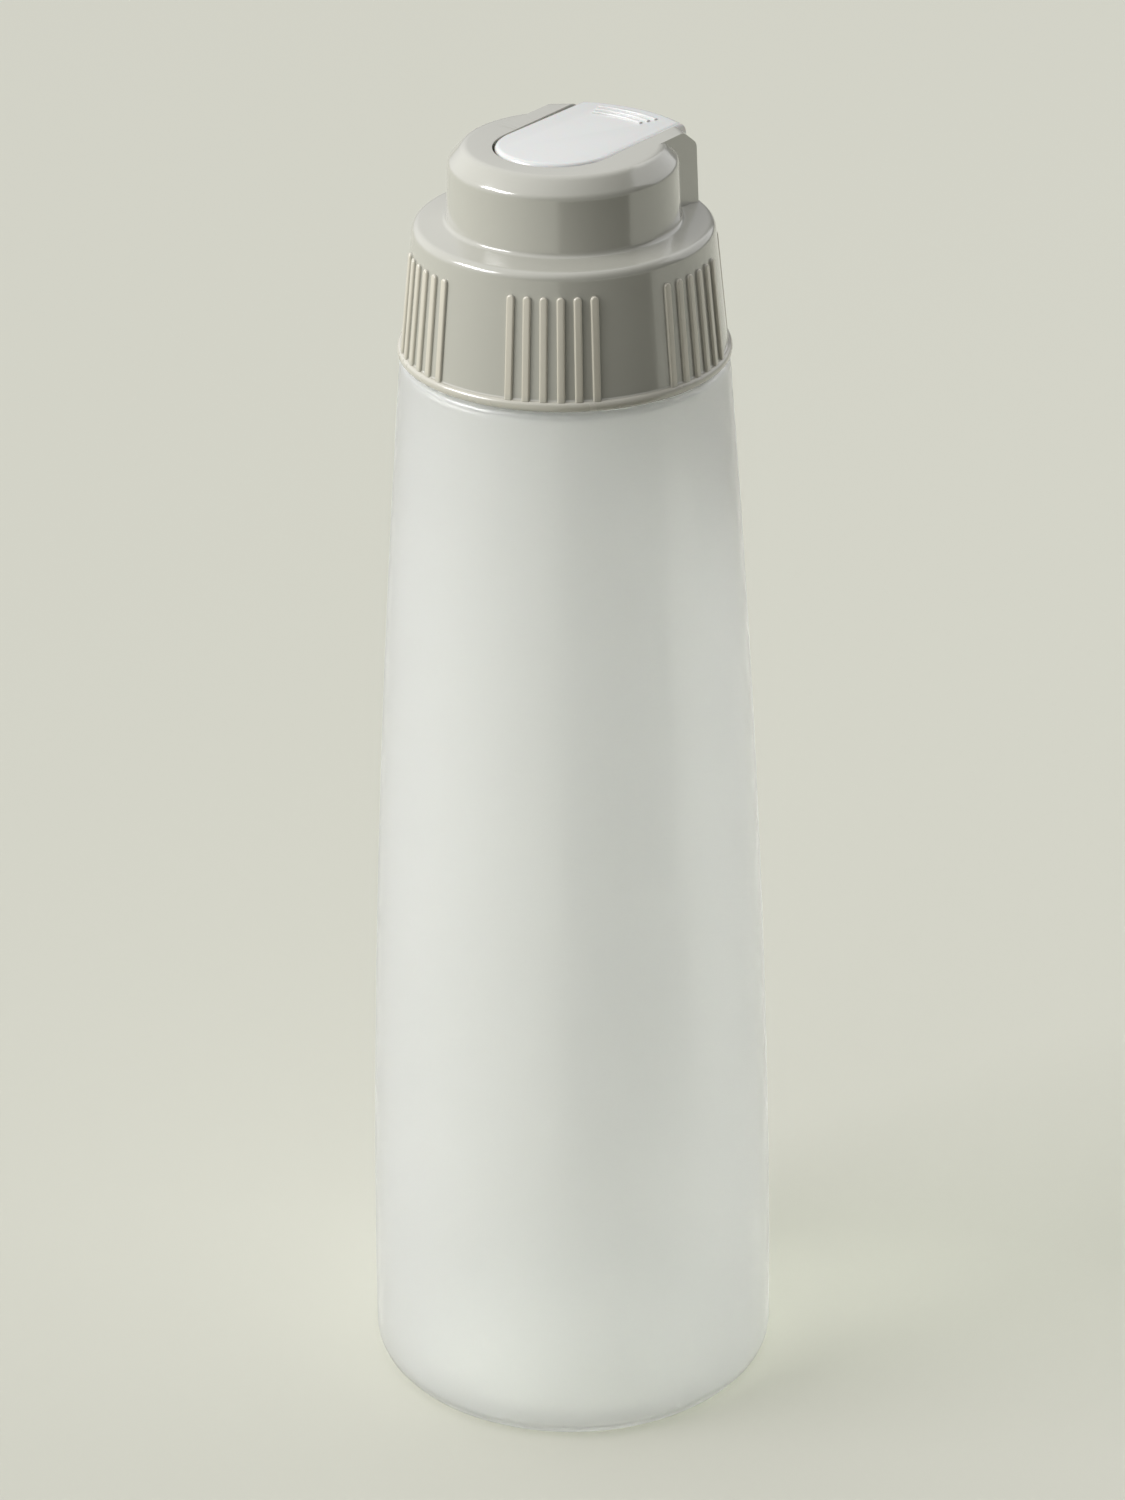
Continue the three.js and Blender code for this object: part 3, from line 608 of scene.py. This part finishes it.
def cap_profile():
    """The shell's section from the middle of its inside, round the skirts, to the middle of its top."""
    annulus_top = SKIRT_TOP + DECK_FILLET - DECK_WALL
    inner_outer = INNER_SKIRT_RADIUS + INNER_SKIRT_WALL
    skirt_inner = SKIRT_FOOT_RADIUS - SKIRT_WALL
    flange_r = FLANGE_RADIUS - FLANGE_ROUND
    plenum_z, plenum_r = DECK_UNDERSIDE + PLENUM_DEPTH, INNER_SKIRT_RADIUS - SEALING_LAND
    points = [(0, plenum_z), (plenum_r, plenum_z), (plenum_r, DECK_UNDERSIDE)]
    points += [(INNER_SKIRT_RADIUS, DECK_UNDERSIDE)]
    points += rounded_rim(INNER_SKIRT_RADIUS, inner_outer, DECK_UNDERSIDE - INNER_SKIRT_LENGTH)
    points += [(inner_outer, annulus_top), (SKIRT_TOP_RADIUS - SKIRT_WALL, annulus_top)]
    points += arc(skirt_inner + RIM_ROUND, CAP_FLOOR + RIM_ROUND, RIM_ROUND, 180, 270, 3)
    points += arc(flange_r, CAP_FLOOR + FLANGE_ROUND, FLANGE_ROUND, -90, 0)
    points += arc(flange_r, FLANGE_TOP - FLANGE_ROUND, FLANGE_ROUND, 0, 90)
    points += [(SKIRT_FOOT_RADIUS + FLANGE_ROOT, FLANGE_TOP), (SKIRT_FOOT_RADIUS, FLANGE_TOP + FLANGE_ROOT)]
    points += arc(SKIRT_TOP_RADIUS - DECK_FILLET, SKIRT_TOP, DECK_FILLET, 0, 90, 8)
    points += arc(BOSS_FOOT + BOSS_ROOT_ROUND, DECK_TOP + BOSS_ROOT_ROUND, BOSS_ROOT_ROUND, 270, 180, 5)
    points += softened([(BOSS_FOOT, DECK_TOP), (BOSS_SHOULDER, SHOULDER_Z), (BOSS_TOP, CAP_TOP)],
                       SHOULDER_SOFTNESS)
    points += softened([(BOSS_SHOULDER, SHOULDER_Z), (BOSS_TOP, CAP_TOP), (0, CAP_TOP)], TOP_SOFTNESS)
    return points + [(0, CAP_TOP)]


print("cap profile", len(cap_profile()), "points")

# %% [markdown]
# ## The lever's outline and its place
#
# The pocket in the boss is a tongue shape: straight sides and a half-round front. The lever has the same
# outline, 0.1 mm smaller at its sides and 0.3 mm at its swinging front, so both come from one function. The
# pivot lies 4.8 mm under the boss's top. The lever's barrel and pins turn in a seat and in bearings that
# are made from the same values with a running gap added.

# %% Tongue outline
LEVER_HALF_WIDTH, RUNNING_GAP, SIDE_GAP = 9.77, 0.3, 0.1
LEVER_REACH, LEVER_TOP, LEVER_FOOT = 17.0, 4.9, -2.2
BARREL, BARREL_HALF, PIN_RADIUS, PIN_PROUD = 6.8, 6.0, 1.6, 1.4
PIVOT_Y, PIVOT_DEPTH, POCKET_DEPTH = 5.5, 4.8, 12.0
PIVOT_Z = CAP_TOP - PIVOT_DEPTH
POCKET_FRONT = PIVOT_Y - hypot(LEVER_REACH, LEVER_FOOT) - RUNNING_GAP
POCKET_FLOOR = CAP_TOP - POCKET_DEPTH


def tongue(half_width, front_y, rear_y, steps=40):
    """Outline with straight sides and a half-round front that faces -Y."""
    middle = front_y + half_width
    angles = [pi + pi * i / steps for i in range(steps + 1)]
    front = [(half_width * cos(a), middle + half_width * sin(a)) for a in angles]
    return front + [(half_width, rear_y), (-half_width, rear_y)]


print("pivot at y", PIVOT_Y, "z", round(PIVOT_Z, 1), "mm, pocket floor at", round(POCKET_FLOOR, 1))

# %% [markdown]
# ## The rear block
#
# Seen from above, the block is a slice of a larger round boss between two straight sides. So it is spun
# like the boss and then kept only where a box overlaps it, which gives it the same shoulder for nothing.

# %% Rear block
BLOCK_HALF_WIDTH, BLOCK_FOOT, BLOCK_SHOULDER, BLOCK_TOP = 12.85, 22.9, 22.3, 19.4
BLOCK_SINK, BLOCK_REACH = 0.7, 40


def rear_block():
    """The block behind the boss."""
    foot = DECK_TOP - DECK_DROP - BLOCK_SINK
    profile = [(0, foot), (BLOCK_FOOT, foot)]
    profile += softened([(BLOCK_FOOT, foot), (BLOCK_SHOULDER, SHOULDER_Z), (BLOCK_TOP, CAP_TOP)],
                        TOP_SOFTNESS)
    profile += softened([(BLOCK_SHOULDER, SHOULDER_Z), (BLOCK_TOP, CAP_TOP), (0, CAP_TOP)], TOP_SOFTNESS)
    block = spun("rear_block", profile + [(0, CAP_TOP)])
    sides = box("block_sides", (-BLOCK_HALF_WIDTH, 0, foot - 1),
                (BLOCK_HALF_WIDTH, BLOCK_REACH, CAP_TOP + 1))
    return combine(block, [sides], "INTERSECT")


print("rear block", 2 * BLOCK_HALF_WIDTH, "mm wide, reaching", BLOCK_FOOT, "mm behind the axis")

# %% [markdown]
# ## Grip ribs
#
# Six groups of six slim ribs stand on the skirt for wet fingers. Each is a bar with rounded edges and a
# round top end, and runs down into the flange. One rib is made at the front, tipped to the skirt's slope,
# and turned into place thirty-six times.

# %% Make a rib
RIB_WIDTH, RIB_PROUD, RIB_TOP_GAP, RIB_PITCH, RIB_PHASE = 1.3, 0.5, 3.6, 6.1, 31.5
RIB_EDGE, RIB_FOOT_SINK, RIB_WALL_SINK, RIB_GROUPS, RIBS_IN_GROUP = 0.3, 0.3, 0.4, 6, 6


def grip_rib(angle):
    """One rib on the skirt, at an angle that counts from -Y."""
    height = SKIRT_TOP + DECK_FILLET - RIB_TOP_GAP - FLANGE_TOP
    half = RIB_WIDTH / 2
    outline = [(-half, -RIB_FOOT_SINK), (half, -RIB_FOOT_SINK)]
    outline += [(half * cos(a), height - half + half * sin(a)) for a in [pi * i / 8 for i in range(9)]]
    rib = extruded("rib", outline, -RIB_WALL_SINK, RIB_PROUD, edge=RIB_EDGE, edge_steps=5)
    slope = atan2(SKIRT_FOOT_RADIUS - SKIRT_TOP_RADIUS, SKIRT_TOP - FLANGE_TOP)
    place = Matrix.Rotation(radians(angle), 4, "Z") @ Matrix.Translation(
        (0, -SKIRT_FOOT_RADIUS * MM, FLANGE_TOP * MM)) @ Matrix.Rotation(pi / 2 - slope, 4, "X")
    return turned(rib, place)


def all_ribs():
    """Every rib as one object."""
    middle = (RIBS_IN_GROUP - 1) / 2
    starts = [RIB_PHASE + 360 / RIB_GROUPS * group for group in range(RIB_GROUPS)]
    return joined([grip_rib(start + (i - middle) * RIB_PITCH) for start in starts
                   for i in range(RIBS_IN_GROUP)], "ribs")


print("ribs", RIB_GROUPS * RIBS_IN_GROUP, "each", RIB_WIDTH, "mm wide and", RIB_PROUD, "mm proud")

# %% [markdown]
# ## Ribs: rubbed polish and painted light
#
# Fingers touch the ribs and hardly ever the wall between them, so the ribs have lost their polish and are
# duller. They are also painted paler, and the flange a little too. This is painted light: it stands in for
# the light that their rounded crests catch while the wall between them lies in their shade. The material
# measures how far a point stands out of the tapered skirt: its distance from the axis, plus its height times
# the taper, is the same all over the bare wall and larger on what stands proud of it.

# %% Rub the ribs and paint light on them
# Painted light: a paler grey on what stands proud, in place of the light that rib crests and flange catch.
PAINTED_LIT_RIB_GREY = "#CCC7B8"
RUB_ROUGHNESS = 0.25
FLANGE_SHARE = 0.45
LIT_RUB_START, LIT_RUB_FULL, LIT_RUB_BELOW, LIT_RUB_ABOVE = 0.05, 0.3, 0.2, 1.0


def paint_rib_light_and_rub(material):
    """Paint light on what stands out of the skirt as a paler grey, and make it duller."""
    tree = material.node_tree
    surface = next(node for node in tree.nodes if node.type == "BSDF_PRINCIPLED")
    moulded_gloss = surface.inputs["Roughness"].links[0].from_socket
    place = add_node(tree, "ShaderNodeTexCoord")
    parts = add_node(tree, "ShaderNodeSeparateXYZ", [("Vector", place.outputs["Object"])])
    flat = add_node(tree, "ShaderNodeVectorMath", [(0, place.outputs["Object"])], operation="MULTIPLY")
    flat.inputs[1].default_value = (1, 1, 0)
    radius = add_node(tree, "ShaderNodeVectorMath", [(0, flat.outputs["Vector"])], operation="LENGTH")
    taper = (SKIRT_FOOT_RADIUS - SKIRT_TOP_RADIUS) / (SKIRT_TOP - FLANGE_TOP)
    wall = SKIRT_FOOT_RADIUS + taper * FLANGE_TOP
    untapered = add_node(tree, "ShaderNodeMath", [(0, parts.outputs["Z"]), (2, radius.outputs["Value"])],
                         {1: taper}, operation="MULTIPLY_ADD")
    proud = add_node(tree, "ShaderNodeMapRange", [("Value", untapered.outputs["Value"])],
                     {"From Min": (wall + LIT_RUB_START) * MM, "From Max": (wall + LIT_RUB_FULL) * MM})
    above = add_node(tree, "ShaderNodeMapRange", [("Value", parts.outputs["Z"])],
                     {"From Min": (FLANGE_TOP - LIT_RUB_BELOW) * MM, "From Max": (FLANGE_TOP + LIT_RUB_ABOVE) * MM,
                      "To Min": FLANGE_SHARE})
    lit_and_rubbed = add_node(tree, "ShaderNodeMath", [(0, proud.outputs["Result"]), (1, above.outputs["Result"])],
                      operation="MULTIPLY")
    # Painted light: the mask mixes in the paler grey. The same mask also raises the roughness for the
    # rubbing.
    colour = add_node(tree, "ShaderNodeMix", [("Factor", lit_and_rubbed.outputs["Value"])], data_type="RGBA")
    colour.inputs[6].default_value = linear(CAP_GREY)
    colour.inputs[7].default_value = linear(PAINTED_LIT_RIB_GREY)
    gloss = add_node(tree, "ShaderNodeMath", [(0, lit_and_rubbed.outputs["Value"]), (2, moulded_gloss)],
                     {1: RUB_ROUGHNESS}, operation="MULTIPLY_ADD")
    tree.links.new(colour.outputs[2], surface.inputs["Base Color"])
    tree.links.new(gloss.outputs["Value"], surface.inputs["Roughness"])
    return material


grey = paint_rib_light_and_rub(moulded_polypropylene("warm_grey_polypropylene", CAP_GREY, roughness=0.13, wear=0.06,
                                      scatter=0.0))
print(grey.name, "has", len(grey.node_tree.nodes), "nodes")

# %% [markdown]
# ## Mould the cap
#
# The order matters. The block is joined to the shell before the pocket is cut, so that one cut opens both.
# The valve seat then goes into the pocket: a raised block, hollowed to the lever's barrel, with the orifice
# at its lowest point. The ribs and the inner thread come last, because the many small faces that they add
# would slow every boolean after them.

# %% Make the cap
SEAT_HALF_WIDTH, SEAT_HALF_LENGTH, SEAT_DROP, ORIFICE_RADIUS = 7.6, 8.6, 3.4, 1.5
POCKET_REACH, POCKET_SKY = 40, 230


def make_cap():
    """The cap as one solid."""
    cap = spun("moulded_cap", cap_profile())
    pocket = extruded("pocket", tongue(LEVER_HALF_WIDTH + SIDE_GAP, POCKET_FRONT, POCKET_REACH),
                      POCKET_FLOOR, POCKET_SKY)
    seat = box("seat", (-SEAT_HALF_WIDTH, PIVOT_Y - SEAT_HALF_LENGTH, POCKET_FLOOR - 1),
               (SEAT_HALF_WIDTH, PIVOT_Y + SEAT_HALF_LENGTH, PIVOT_Z - SEAT_DROP))
    hollow_end = BARREL_HALF + RUNNING_GAP
    hollow = rod("hollow", BARREL + RUNNING_GAP, (-hollow_end, PIVOT_Y, PIVOT_Z),
                 (hollow_end, PIVOT_Y, PIVOT_Z), 96)
    bearing_end = LEVER_HALF_WIDTH + PIN_PROUD + RUNNING_GAP
    bearing = rod("bearing", PIN_RADIUS + RUNNING_GAP, (-bearing_end, PIVOT_Y, PIVOT_Z),
                  (bearing_end, PIVOT_Y, PIVOT_Z))
    orifice = rod("orifice", ORIFICE_RADIUS, (0, PIVOT_Y, DECK_UNDERSIDE), (0, PIVOT_Y, PIVOT_Z), 32)
    combine(cap, [rear_block()], "UNION")
    combine(cap, [pocket], "DIFFERENCE")
    combine(cap, [seat], "UNION")
    combine(cap, [hollow, bearing, orifice], "DIFFERENCE")
    combine(cap, [all_ribs()], "UNION")
    combine(cap, [thread_ridge("cap_thread", INNER_SKIRT_RADIUS, True, CAP_THREAD_START)], "UNION")
    return cap


cap = finish_piece(make_cap(), grey, "cap", "screw_cap")

# %% [markdown]
# ## The lever's forms
#
# The lever is a rocker, modelled level with its pivot at the origin. Its outline from above is the tongue,
# its side view is deep in front of the pivot and shallow behind, and its rear end is a slice of a round
# puck. Keeping only what all three have in common gives the real form in three simple steps.

# %% Lever forms
REAR_RADIUS, REAR_FILLET, REAR_DEPTH, PLATE, WALL = 22.0, 2.0, 3.0, 2.0, 1.3
EAR_RADIUS, EAR_START, EAR_SWEEP, EAR_STEPS, INNER_FILLET = 3.2, 225, 135, 12, 1.0
VIEW_FRONT, VIEW_REAR, VIEW_TOP, VIEW_HALF = -18, 40, 6, 20


def side_slab():
    """The lever's side view: deep in front of the pivot, an ear round it, shallow behind."""
    angles = [radians(EAR_START + EAR_SWEEP * i / EAR_STEPS) for i in range(EAR_STEPS + 1)]
    ear = [(EAR_RADIUS * cos(a), EAR_RADIUS * sin(a)) for a in angles]
    view = [(VIEW_FRONT, LEVER_FOOT), (-EAR_RADIUS, LEVER_FOOT)] + ear
    view += [(BARREL, LEVER_TOP - REAR_DEPTH), (VIEW_REAR, LEVER_TOP - REAR_DEPTH)]
    view += [(VIEW_REAR, VIEW_TOP), (VIEW_FRONT, VIEW_TOP)]
    slab = extruded("side_slab", view, -VIEW_HALF, VIEW_HALF)
    return turned(slab, Matrix.Rotation(pi / 2, 4, "Z") @ Matrix.Rotation(pi / 2, 4, "X"))


def lever_puck(name, radius, top, fillet, foot):
    """A round puck about the cap's axis, which gives the lever its curved rear."""
    profile = [(0, foot), (radius, foot)] + arc(radius - fillet, top - fillet, fillet, 0, 90, 10)
    return turned(spun(name, profile + [(0, top)]), Matrix.Translation((0, -PIVOT_Y * MM, 0)))


print("lever reaches", LEVER_REACH, "mm in front of its pivot and", REAR_RADIUS - PIVOT_Y, "mm behind it")

# %% [markdown]
# ## Grip bars
#
# Three low curved bars at the rear tell the finger where to press. They follow the lever's rear edge, so
# they are arcs about the cap's axis.

# %% Grip bars
BAR_RADII, BAR_HALF_ANGLE, BAR_HALF_WIDTH, BAR_STEPS = (15.2, 16.7, 18.2), 18, 0.3, 16
BAR_SINK, BAR_PROUD, BAR_EDGE = 0.3, 0.25, 0.15


def grip_bar(radius):
    """A low bar for the fingertip, parallel to the lever's rear edge."""
    start = 90 - BAR_HALF_ANGLE
    angles = [radians(start + 2 * BAR_HALF_ANGLE * i / BAR_STEPS) for i in range(BAR_STEPS + 1)]
    inner, outer = radius - BAR_HALF_WIDTH, radius + BAR_HALF_WIDTH
    outline = [(inner * cos(a), inner * sin(a) - PIVOT_Y) for a in angles]
    outline += [(outer * cos(a), outer * sin(a) - PIVOT_Y) for a in angles[::-1]]
    return extruded("grip_bar", outline, LEVER_TOP - BAR_SINK, LEVER_TOP + BAR_PROUD, edge=BAR_EDGE,
                    edge_steps=3)


print("grip bars at", BAR_RADII, "mm from the cap's axis")

# %% [markdown]
# ## Mould the lever
#
# The shell is hollowed from below. A barrel, two pins and a nozzle tube are joined to it, and then the bent
# channel is bored: along the tube, and down through the barrel at the angle at which it meets the orifice
# when the lever is open. Pressed shut the lever lies 0.9 degrees nose-up, so it is tipped by that at the
# end.

# %% Make the lever
REST_TILT_DEGREES, OPEN_DEGREES = 0.9, 30
LEVER_EDGE, TOP_SHY, SKIRT_SPARE = 0.85, 0.01, 2
TUBE_RADIUS, TUBE_LIFT, CHANNEL_RADIUS, CHANNEL_START, CHANNEL_DEPTH = 2.9, 1, 1.6, 0.5, 8
CHANNEL_END, PIN_ROOT, HOLLOW_FOOT, PUCK_FOOT, FORM_SPARE, OUTLINE_REAR = -20, 9.0, -12, -14, 9, 30
TRIM_HALF_WIDTH, TRIM_HALF_LENGTH, TRIM_TOP, PLATE_OVERLAP = 10, 8, 12, 1


def lever_shell():
    """The lever's outer form, hollowed from below."""
    outline = tongue(LEVER_HALF_WIDTH, -LEVER_REACH, OUTLINE_REAR)
    lever = extruded("rocker_lever", outline, LEVER_FOOT - SKIRT_SPARE, LEVER_TOP - TOP_SHY,
                     edge=LEVER_EDGE, edge_steps=6)
    rear_form = lever_puck("rear_form", REAR_RADIUS, LEVER_TOP, REAR_FILLET, LEVER_FOOT - FORM_SPARE)
    combine(lever, [rear_form, side_slab()], "INTERSECT")
    ceiling = LEVER_TOP - PLATE
    inner = extruded("inner", tongue(LEVER_HALF_WIDTH - WALL, WALL - LEVER_REACH, OUTLINE_REAR),
                     HOLLOW_FOOT, ceiling)
    inner_rear = lever_puck("inner_rear", REAR_RADIUS - WALL, ceiling, INNER_FILLET, PUCK_FOOT)
    combine(inner, [inner_rear], "INTERSECT")
    return combine(lever, [inner], "DIFFERENCE")


def make_lever():
    """The lever as one solid, tipped and moved to its pivot."""
    lever = lever_shell()
    pin_end = LEVER_HALF_WIDTH + PIN_PROUD
    pins = [rod("pin", PIN_RADIUS, (way * PIN_ROOT, 0, 0), (way * pin_end, 0, 0)) for way in (-1, 1)]
    barrel = rod("barrel", BARREL, (-BARREL_HALF, 0, 0), (BARREL_HALF, 0, 0), 96)
    trim = box("trim", (-TRIM_HALF_WIDTH, -TRIM_HALF_LENGTH, LEVER_TOP - PLATE + PLATE_OVERLAP),
               (TRIM_HALF_WIDTH, TRIM_HALF_LENGTH, TRIM_TOP))
    combine(barrel, [trim], "DIFFERENCE")
    tube = rod("tube", TUBE_RADIUS, (0, 0, TUBE_LIFT), (0, WALL / 2 - LEVER_REACH, TUBE_LIFT))
    combine(lever, [joined(pins, "pins"), barrel, tube], "UNION")
    down = radians(OPEN_DEGREES + REST_TILT_DEGREES)
    pour = rod("pour", CHANNEL_RADIUS, (0, CHANNEL_START, TUBE_LIFT), (0, CHANNEL_END, TUBE_LIFT), 40)
    inlet = rod("inlet", CHANNEL_RADIUS, (0, 0, 0),
                (0, CHANNEL_DEPTH * sin(down), -CHANNEL_DEPTH * cos(down)), 40)
    combine(lever, [pour, inlet], "DIFFERENCE")
    combine(lever, [joined([grip_bar(r) for r in BAR_RADII], "grip_bars")], "UNION")
    tip = Matrix.Rotation(radians(-REST_TILT_DEGREES), 4, "X")
    return turned(lever, Matrix.Translation((0, PIVOT_Y * MM, PIVOT_Z * MM)) @ tip)


white = moulded_polypropylene("white_polypropylene", LEVER_WHITE, roughness=0.22, wear=0.05, scatter=0.15)
lever = finish_piece(make_lever(), white, "lever", "pour_lever")

# %% [markdown]
# ## The table
#
# The bottle stands on a pale warm table that fills the picture. The cap's right side is dark, because it
# mirrors something dark that lies outside the frame. A dark cloth on the table there would do it, but it
# would spoil every other view. So a dark patch is painted into the table's own material inside a wedge, for
# every ray except those that come straight from the camera: a painted dark reflection on the cap's right
# side, which also sends less light back onto it.

# %% Sides and the wedge of painted dark
CAMERA_AZIMUTH = 36
DARK_WEDGE_FROM, DARK_WEDGE_TO = CAMERA_AZIMUTH - 5, CAMERA_AZIMUTH + 66
DARK_WEDGE_NEAR, DARK_WEDGE_REACH = 0.13, 1.6


def towards(azimuth, elevation=0.0):
    """Unit vector to a side. Azimuth counts from -Y, anticlockwise from above."""
    a, e = radians(azimuth), radians(elevation)
    return Vector((sin(a) * cos(e), -cos(a) * cos(e), sin(e)))


def painted_dark_wedge_mask(tree, place):
    """One inside the wedge of painted dark, and nothing for the rays that come straight from the camera."""
    sides = (towards(DARK_WEDGE_FROM + 90), towards(DARK_WEDGE_TO - 90))
    across = [add_node(tree, "ShaderNodeVectorMath", [(0, place)], operation="DOT_PRODUCT") for _ in sides]
    for node, side in zip(across, sides):
        node.inputs[1].default_value = side
    reach = add_node(tree, "ShaderNodeVectorMath", [(0, place)], operation="LENGTH")
    path = add_node(tree, "ShaderNodeLightPath")
    limits = [(across[0], 0.0, "GREATER_THAN"), (across[1], 0.0, "GREATER_THAN"),
              (reach, DARK_WEDGE_NEAR, "GREATER_THAN"), (reach, DARK_WEDGE_REACH, "LESS_THAN")]
    mask = add_node(tree, "ShaderNodeMath", [(1, path.outputs["Is Camera Ray"])], {0: 1.0},
                    operation="SUBTRACT")
    for node, limit, kind in limits:
        test = add_node(tree, "ShaderNodeMath", [(0, node.outputs["Value"])], {1: limit}, operation=kind)
        mask = add_node(tree, "ShaderNodeMath", [(0, mask.outputs["Value"]), (1, test.outputs["Value"])],
                        operation="MULTIPLY")
    return mask.outputs["Value"]


print("the dark wedge runs from", DARK_WEDGE_FROM, "to", DARK_WEDGE_TO, "degrees")

# %% [markdown]
# ## Lay the table
#
# A single large face is enough for a table top. Its surface is matte with a faint grain, so that it doesn't
# mirror the bottle.

# %% Make the table
FLOOR_COLOUR = "#CDCDC2"
# Painted dark reflection: the table turns this dark inside the wedge for every ray but the camera's.
PAINTED_DARK_REFLECTION = "#1E1D18"
TABLE_GRAIN_MM = 3
TABLE_HALF = 6


def table_material():
    """Pale and matte, with painted dark in the wedge that only reflections and bounce light see."""
    material, tree, output = new_material("pale_table")
    place = add_node(tree, "ShaderNodeTexCoord")
    colour = add_node(tree, "ShaderNodeMix", [("Factor", painted_dark_wedge_mask(tree, place.outputs["Object"]))],
                      data_type="RGBA")
    colour.inputs[6].default_value = linear(FLOOR_COLOUR)
    colour.inputs[7].default_value = linear(PAINTED_DARK_REFLECTION)
    grain = add_node(tree, "ShaderNodeTexNoise", [("Vector", place.outputs["Object"])],
                     {"Scale": 1 / (TABLE_GRAIN_MM * MM), "Detail": 2.0})
    bump = add_node(tree, "ShaderNodeBump", [("Height", grain.outputs["Fac"])],
                    {"Strength": 0.05, "Distance": 0.1 * MM})
    surface = add_node(tree, "ShaderNodeBsdfDiffuse",
                       [("Color", colour.outputs[2]), ("Normal", bump.outputs["Normal"])],
                       {"Roughness": 0.5})
    tree.links.new(surface.outputs["BSDF"], output.inputs["Surface"])
    return material


corners = ((-1, -1), (1, -1), (1, 1), (-1, 1))
bm = bmesh.new()
bm.faces.new([bm.verts.new((x * TABLE_HALF, y * TABLE_HALF, 0)) for x, y in corners])
table = as_object(bm, "table")
table.data.materials.append(table_material())
print("table", [round(v, 2) for v in table.dimensions], "m")

# %% [markdown]
# ## Two soft lamps
#
# A wide, low window lamp on the left adds the streaks on the cap's rounded edges and the faint shadow. A
# weaker and larger one stands for a light wall behind the bottle on the right. It lifts the far side of the
# cap and body.

# %% Window and far wall
LAMP_DISTANCE = 3.0
BOTTLE_MIDDLE = Vector((0, 0, 0.12))
WINDOW_AZIMUTH, WINDOW_ELEVATION, WINDOW_SIZE, WINDOW_WATTS = CAMERA_AZIMUTH - 76, 34, (1.6, 0.8), 55
WALL_AZIMUTH, WALL_ELEVATION, WALL_SIZE, WALL_WATTS = CAMERA_AZIMUTH + 125, 28, (3.2, 2.4), 23


def soft_lamp(name, azimuth, elevation, size, watts):
    """An area lamp aimed at the bottle's middle."""
    data = bpy.data.lights.new(name, "AREA")
    data.shape = "RECTANGLE"
    data.size, data.size_y = size
    data.energy = watts
    lamp = bpy.data.objects.new(name, data)
    back = towards(azimuth, elevation)
    lamp.location = BOTTLE_MIDDLE + back * LAMP_DISTANCE
    lamp.rotation_euler = back.to_track_quat("Z", "Y").to_euler()
    bpy.context.scene.collection.objects.link(lamp)
    print(name, watts, "W at", [round(v, 2) for v in lamp.location], "m")


soft_lamp("window", WINDOW_AZIMUTH, WINDOW_ELEVATION, WINDOW_SIZE, WINDOW_WATTS)
soft_lamp("far_wall", WALL_AZIMUTH, WALL_ELEVATION, WALL_SIZE, WALL_WATTS)

# %% [markdown]
# ## The room
#
# The room is bright on the left and above, and dark behind the photographer's right shoulder. That is why
# the cap's left side is nearly as light as the table while its right side is dark. So the world's
# brightness depends on the direction: it rises smoothly from the dark side to the bright one.

# %% Light the room
ROOM_AZIMUTH, ROOM_ELEVATION = CAMERA_AZIMUTH - 110, 45
ROOM_DARK, ROOM_BRIGHT = 0.15, 1.27


def room_light():
    """A world that is bright towards the window and dark away from it."""
    world = bpy.data.worlds.new("room")
    world.use_nodes = True
    tree = world.node_tree
    tree.nodes.clear()
    side = add_node(tree, "ShaderNodeTexCoord")
    facing = add_node(tree, "ShaderNodeVectorMath", [(0, side.outputs["Generated"])],
                      operation="DOT_PRODUCT")
    facing.inputs[1].default_value = towards(ROOM_AZIMUTH, ROOM_ELEVATION)
    strength = add_node(tree, "ShaderNodeMapRange", [("Value", facing.outputs["Value"])],
                        {"From Min": 0.0, "From Max": 1.0, "To Min": ROOM_DARK, "To Max": ROOM_BRIGHT},
                        interpolation_type="SMOOTHSTEP")
    light = add_node(tree, "ShaderNodeBackground", [("Strength", strength.outputs["Result"])])
    light.inputs["Color"].default_value = linear("#FFFFFF")
    add_node(tree, "ShaderNodeOutputWorld", [("Surface", light.outputs["Background"])])
    bpy.context.scene.world = world


room_light()
print("room from", ROOM_DARK, "to", ROOM_BRIGHT)
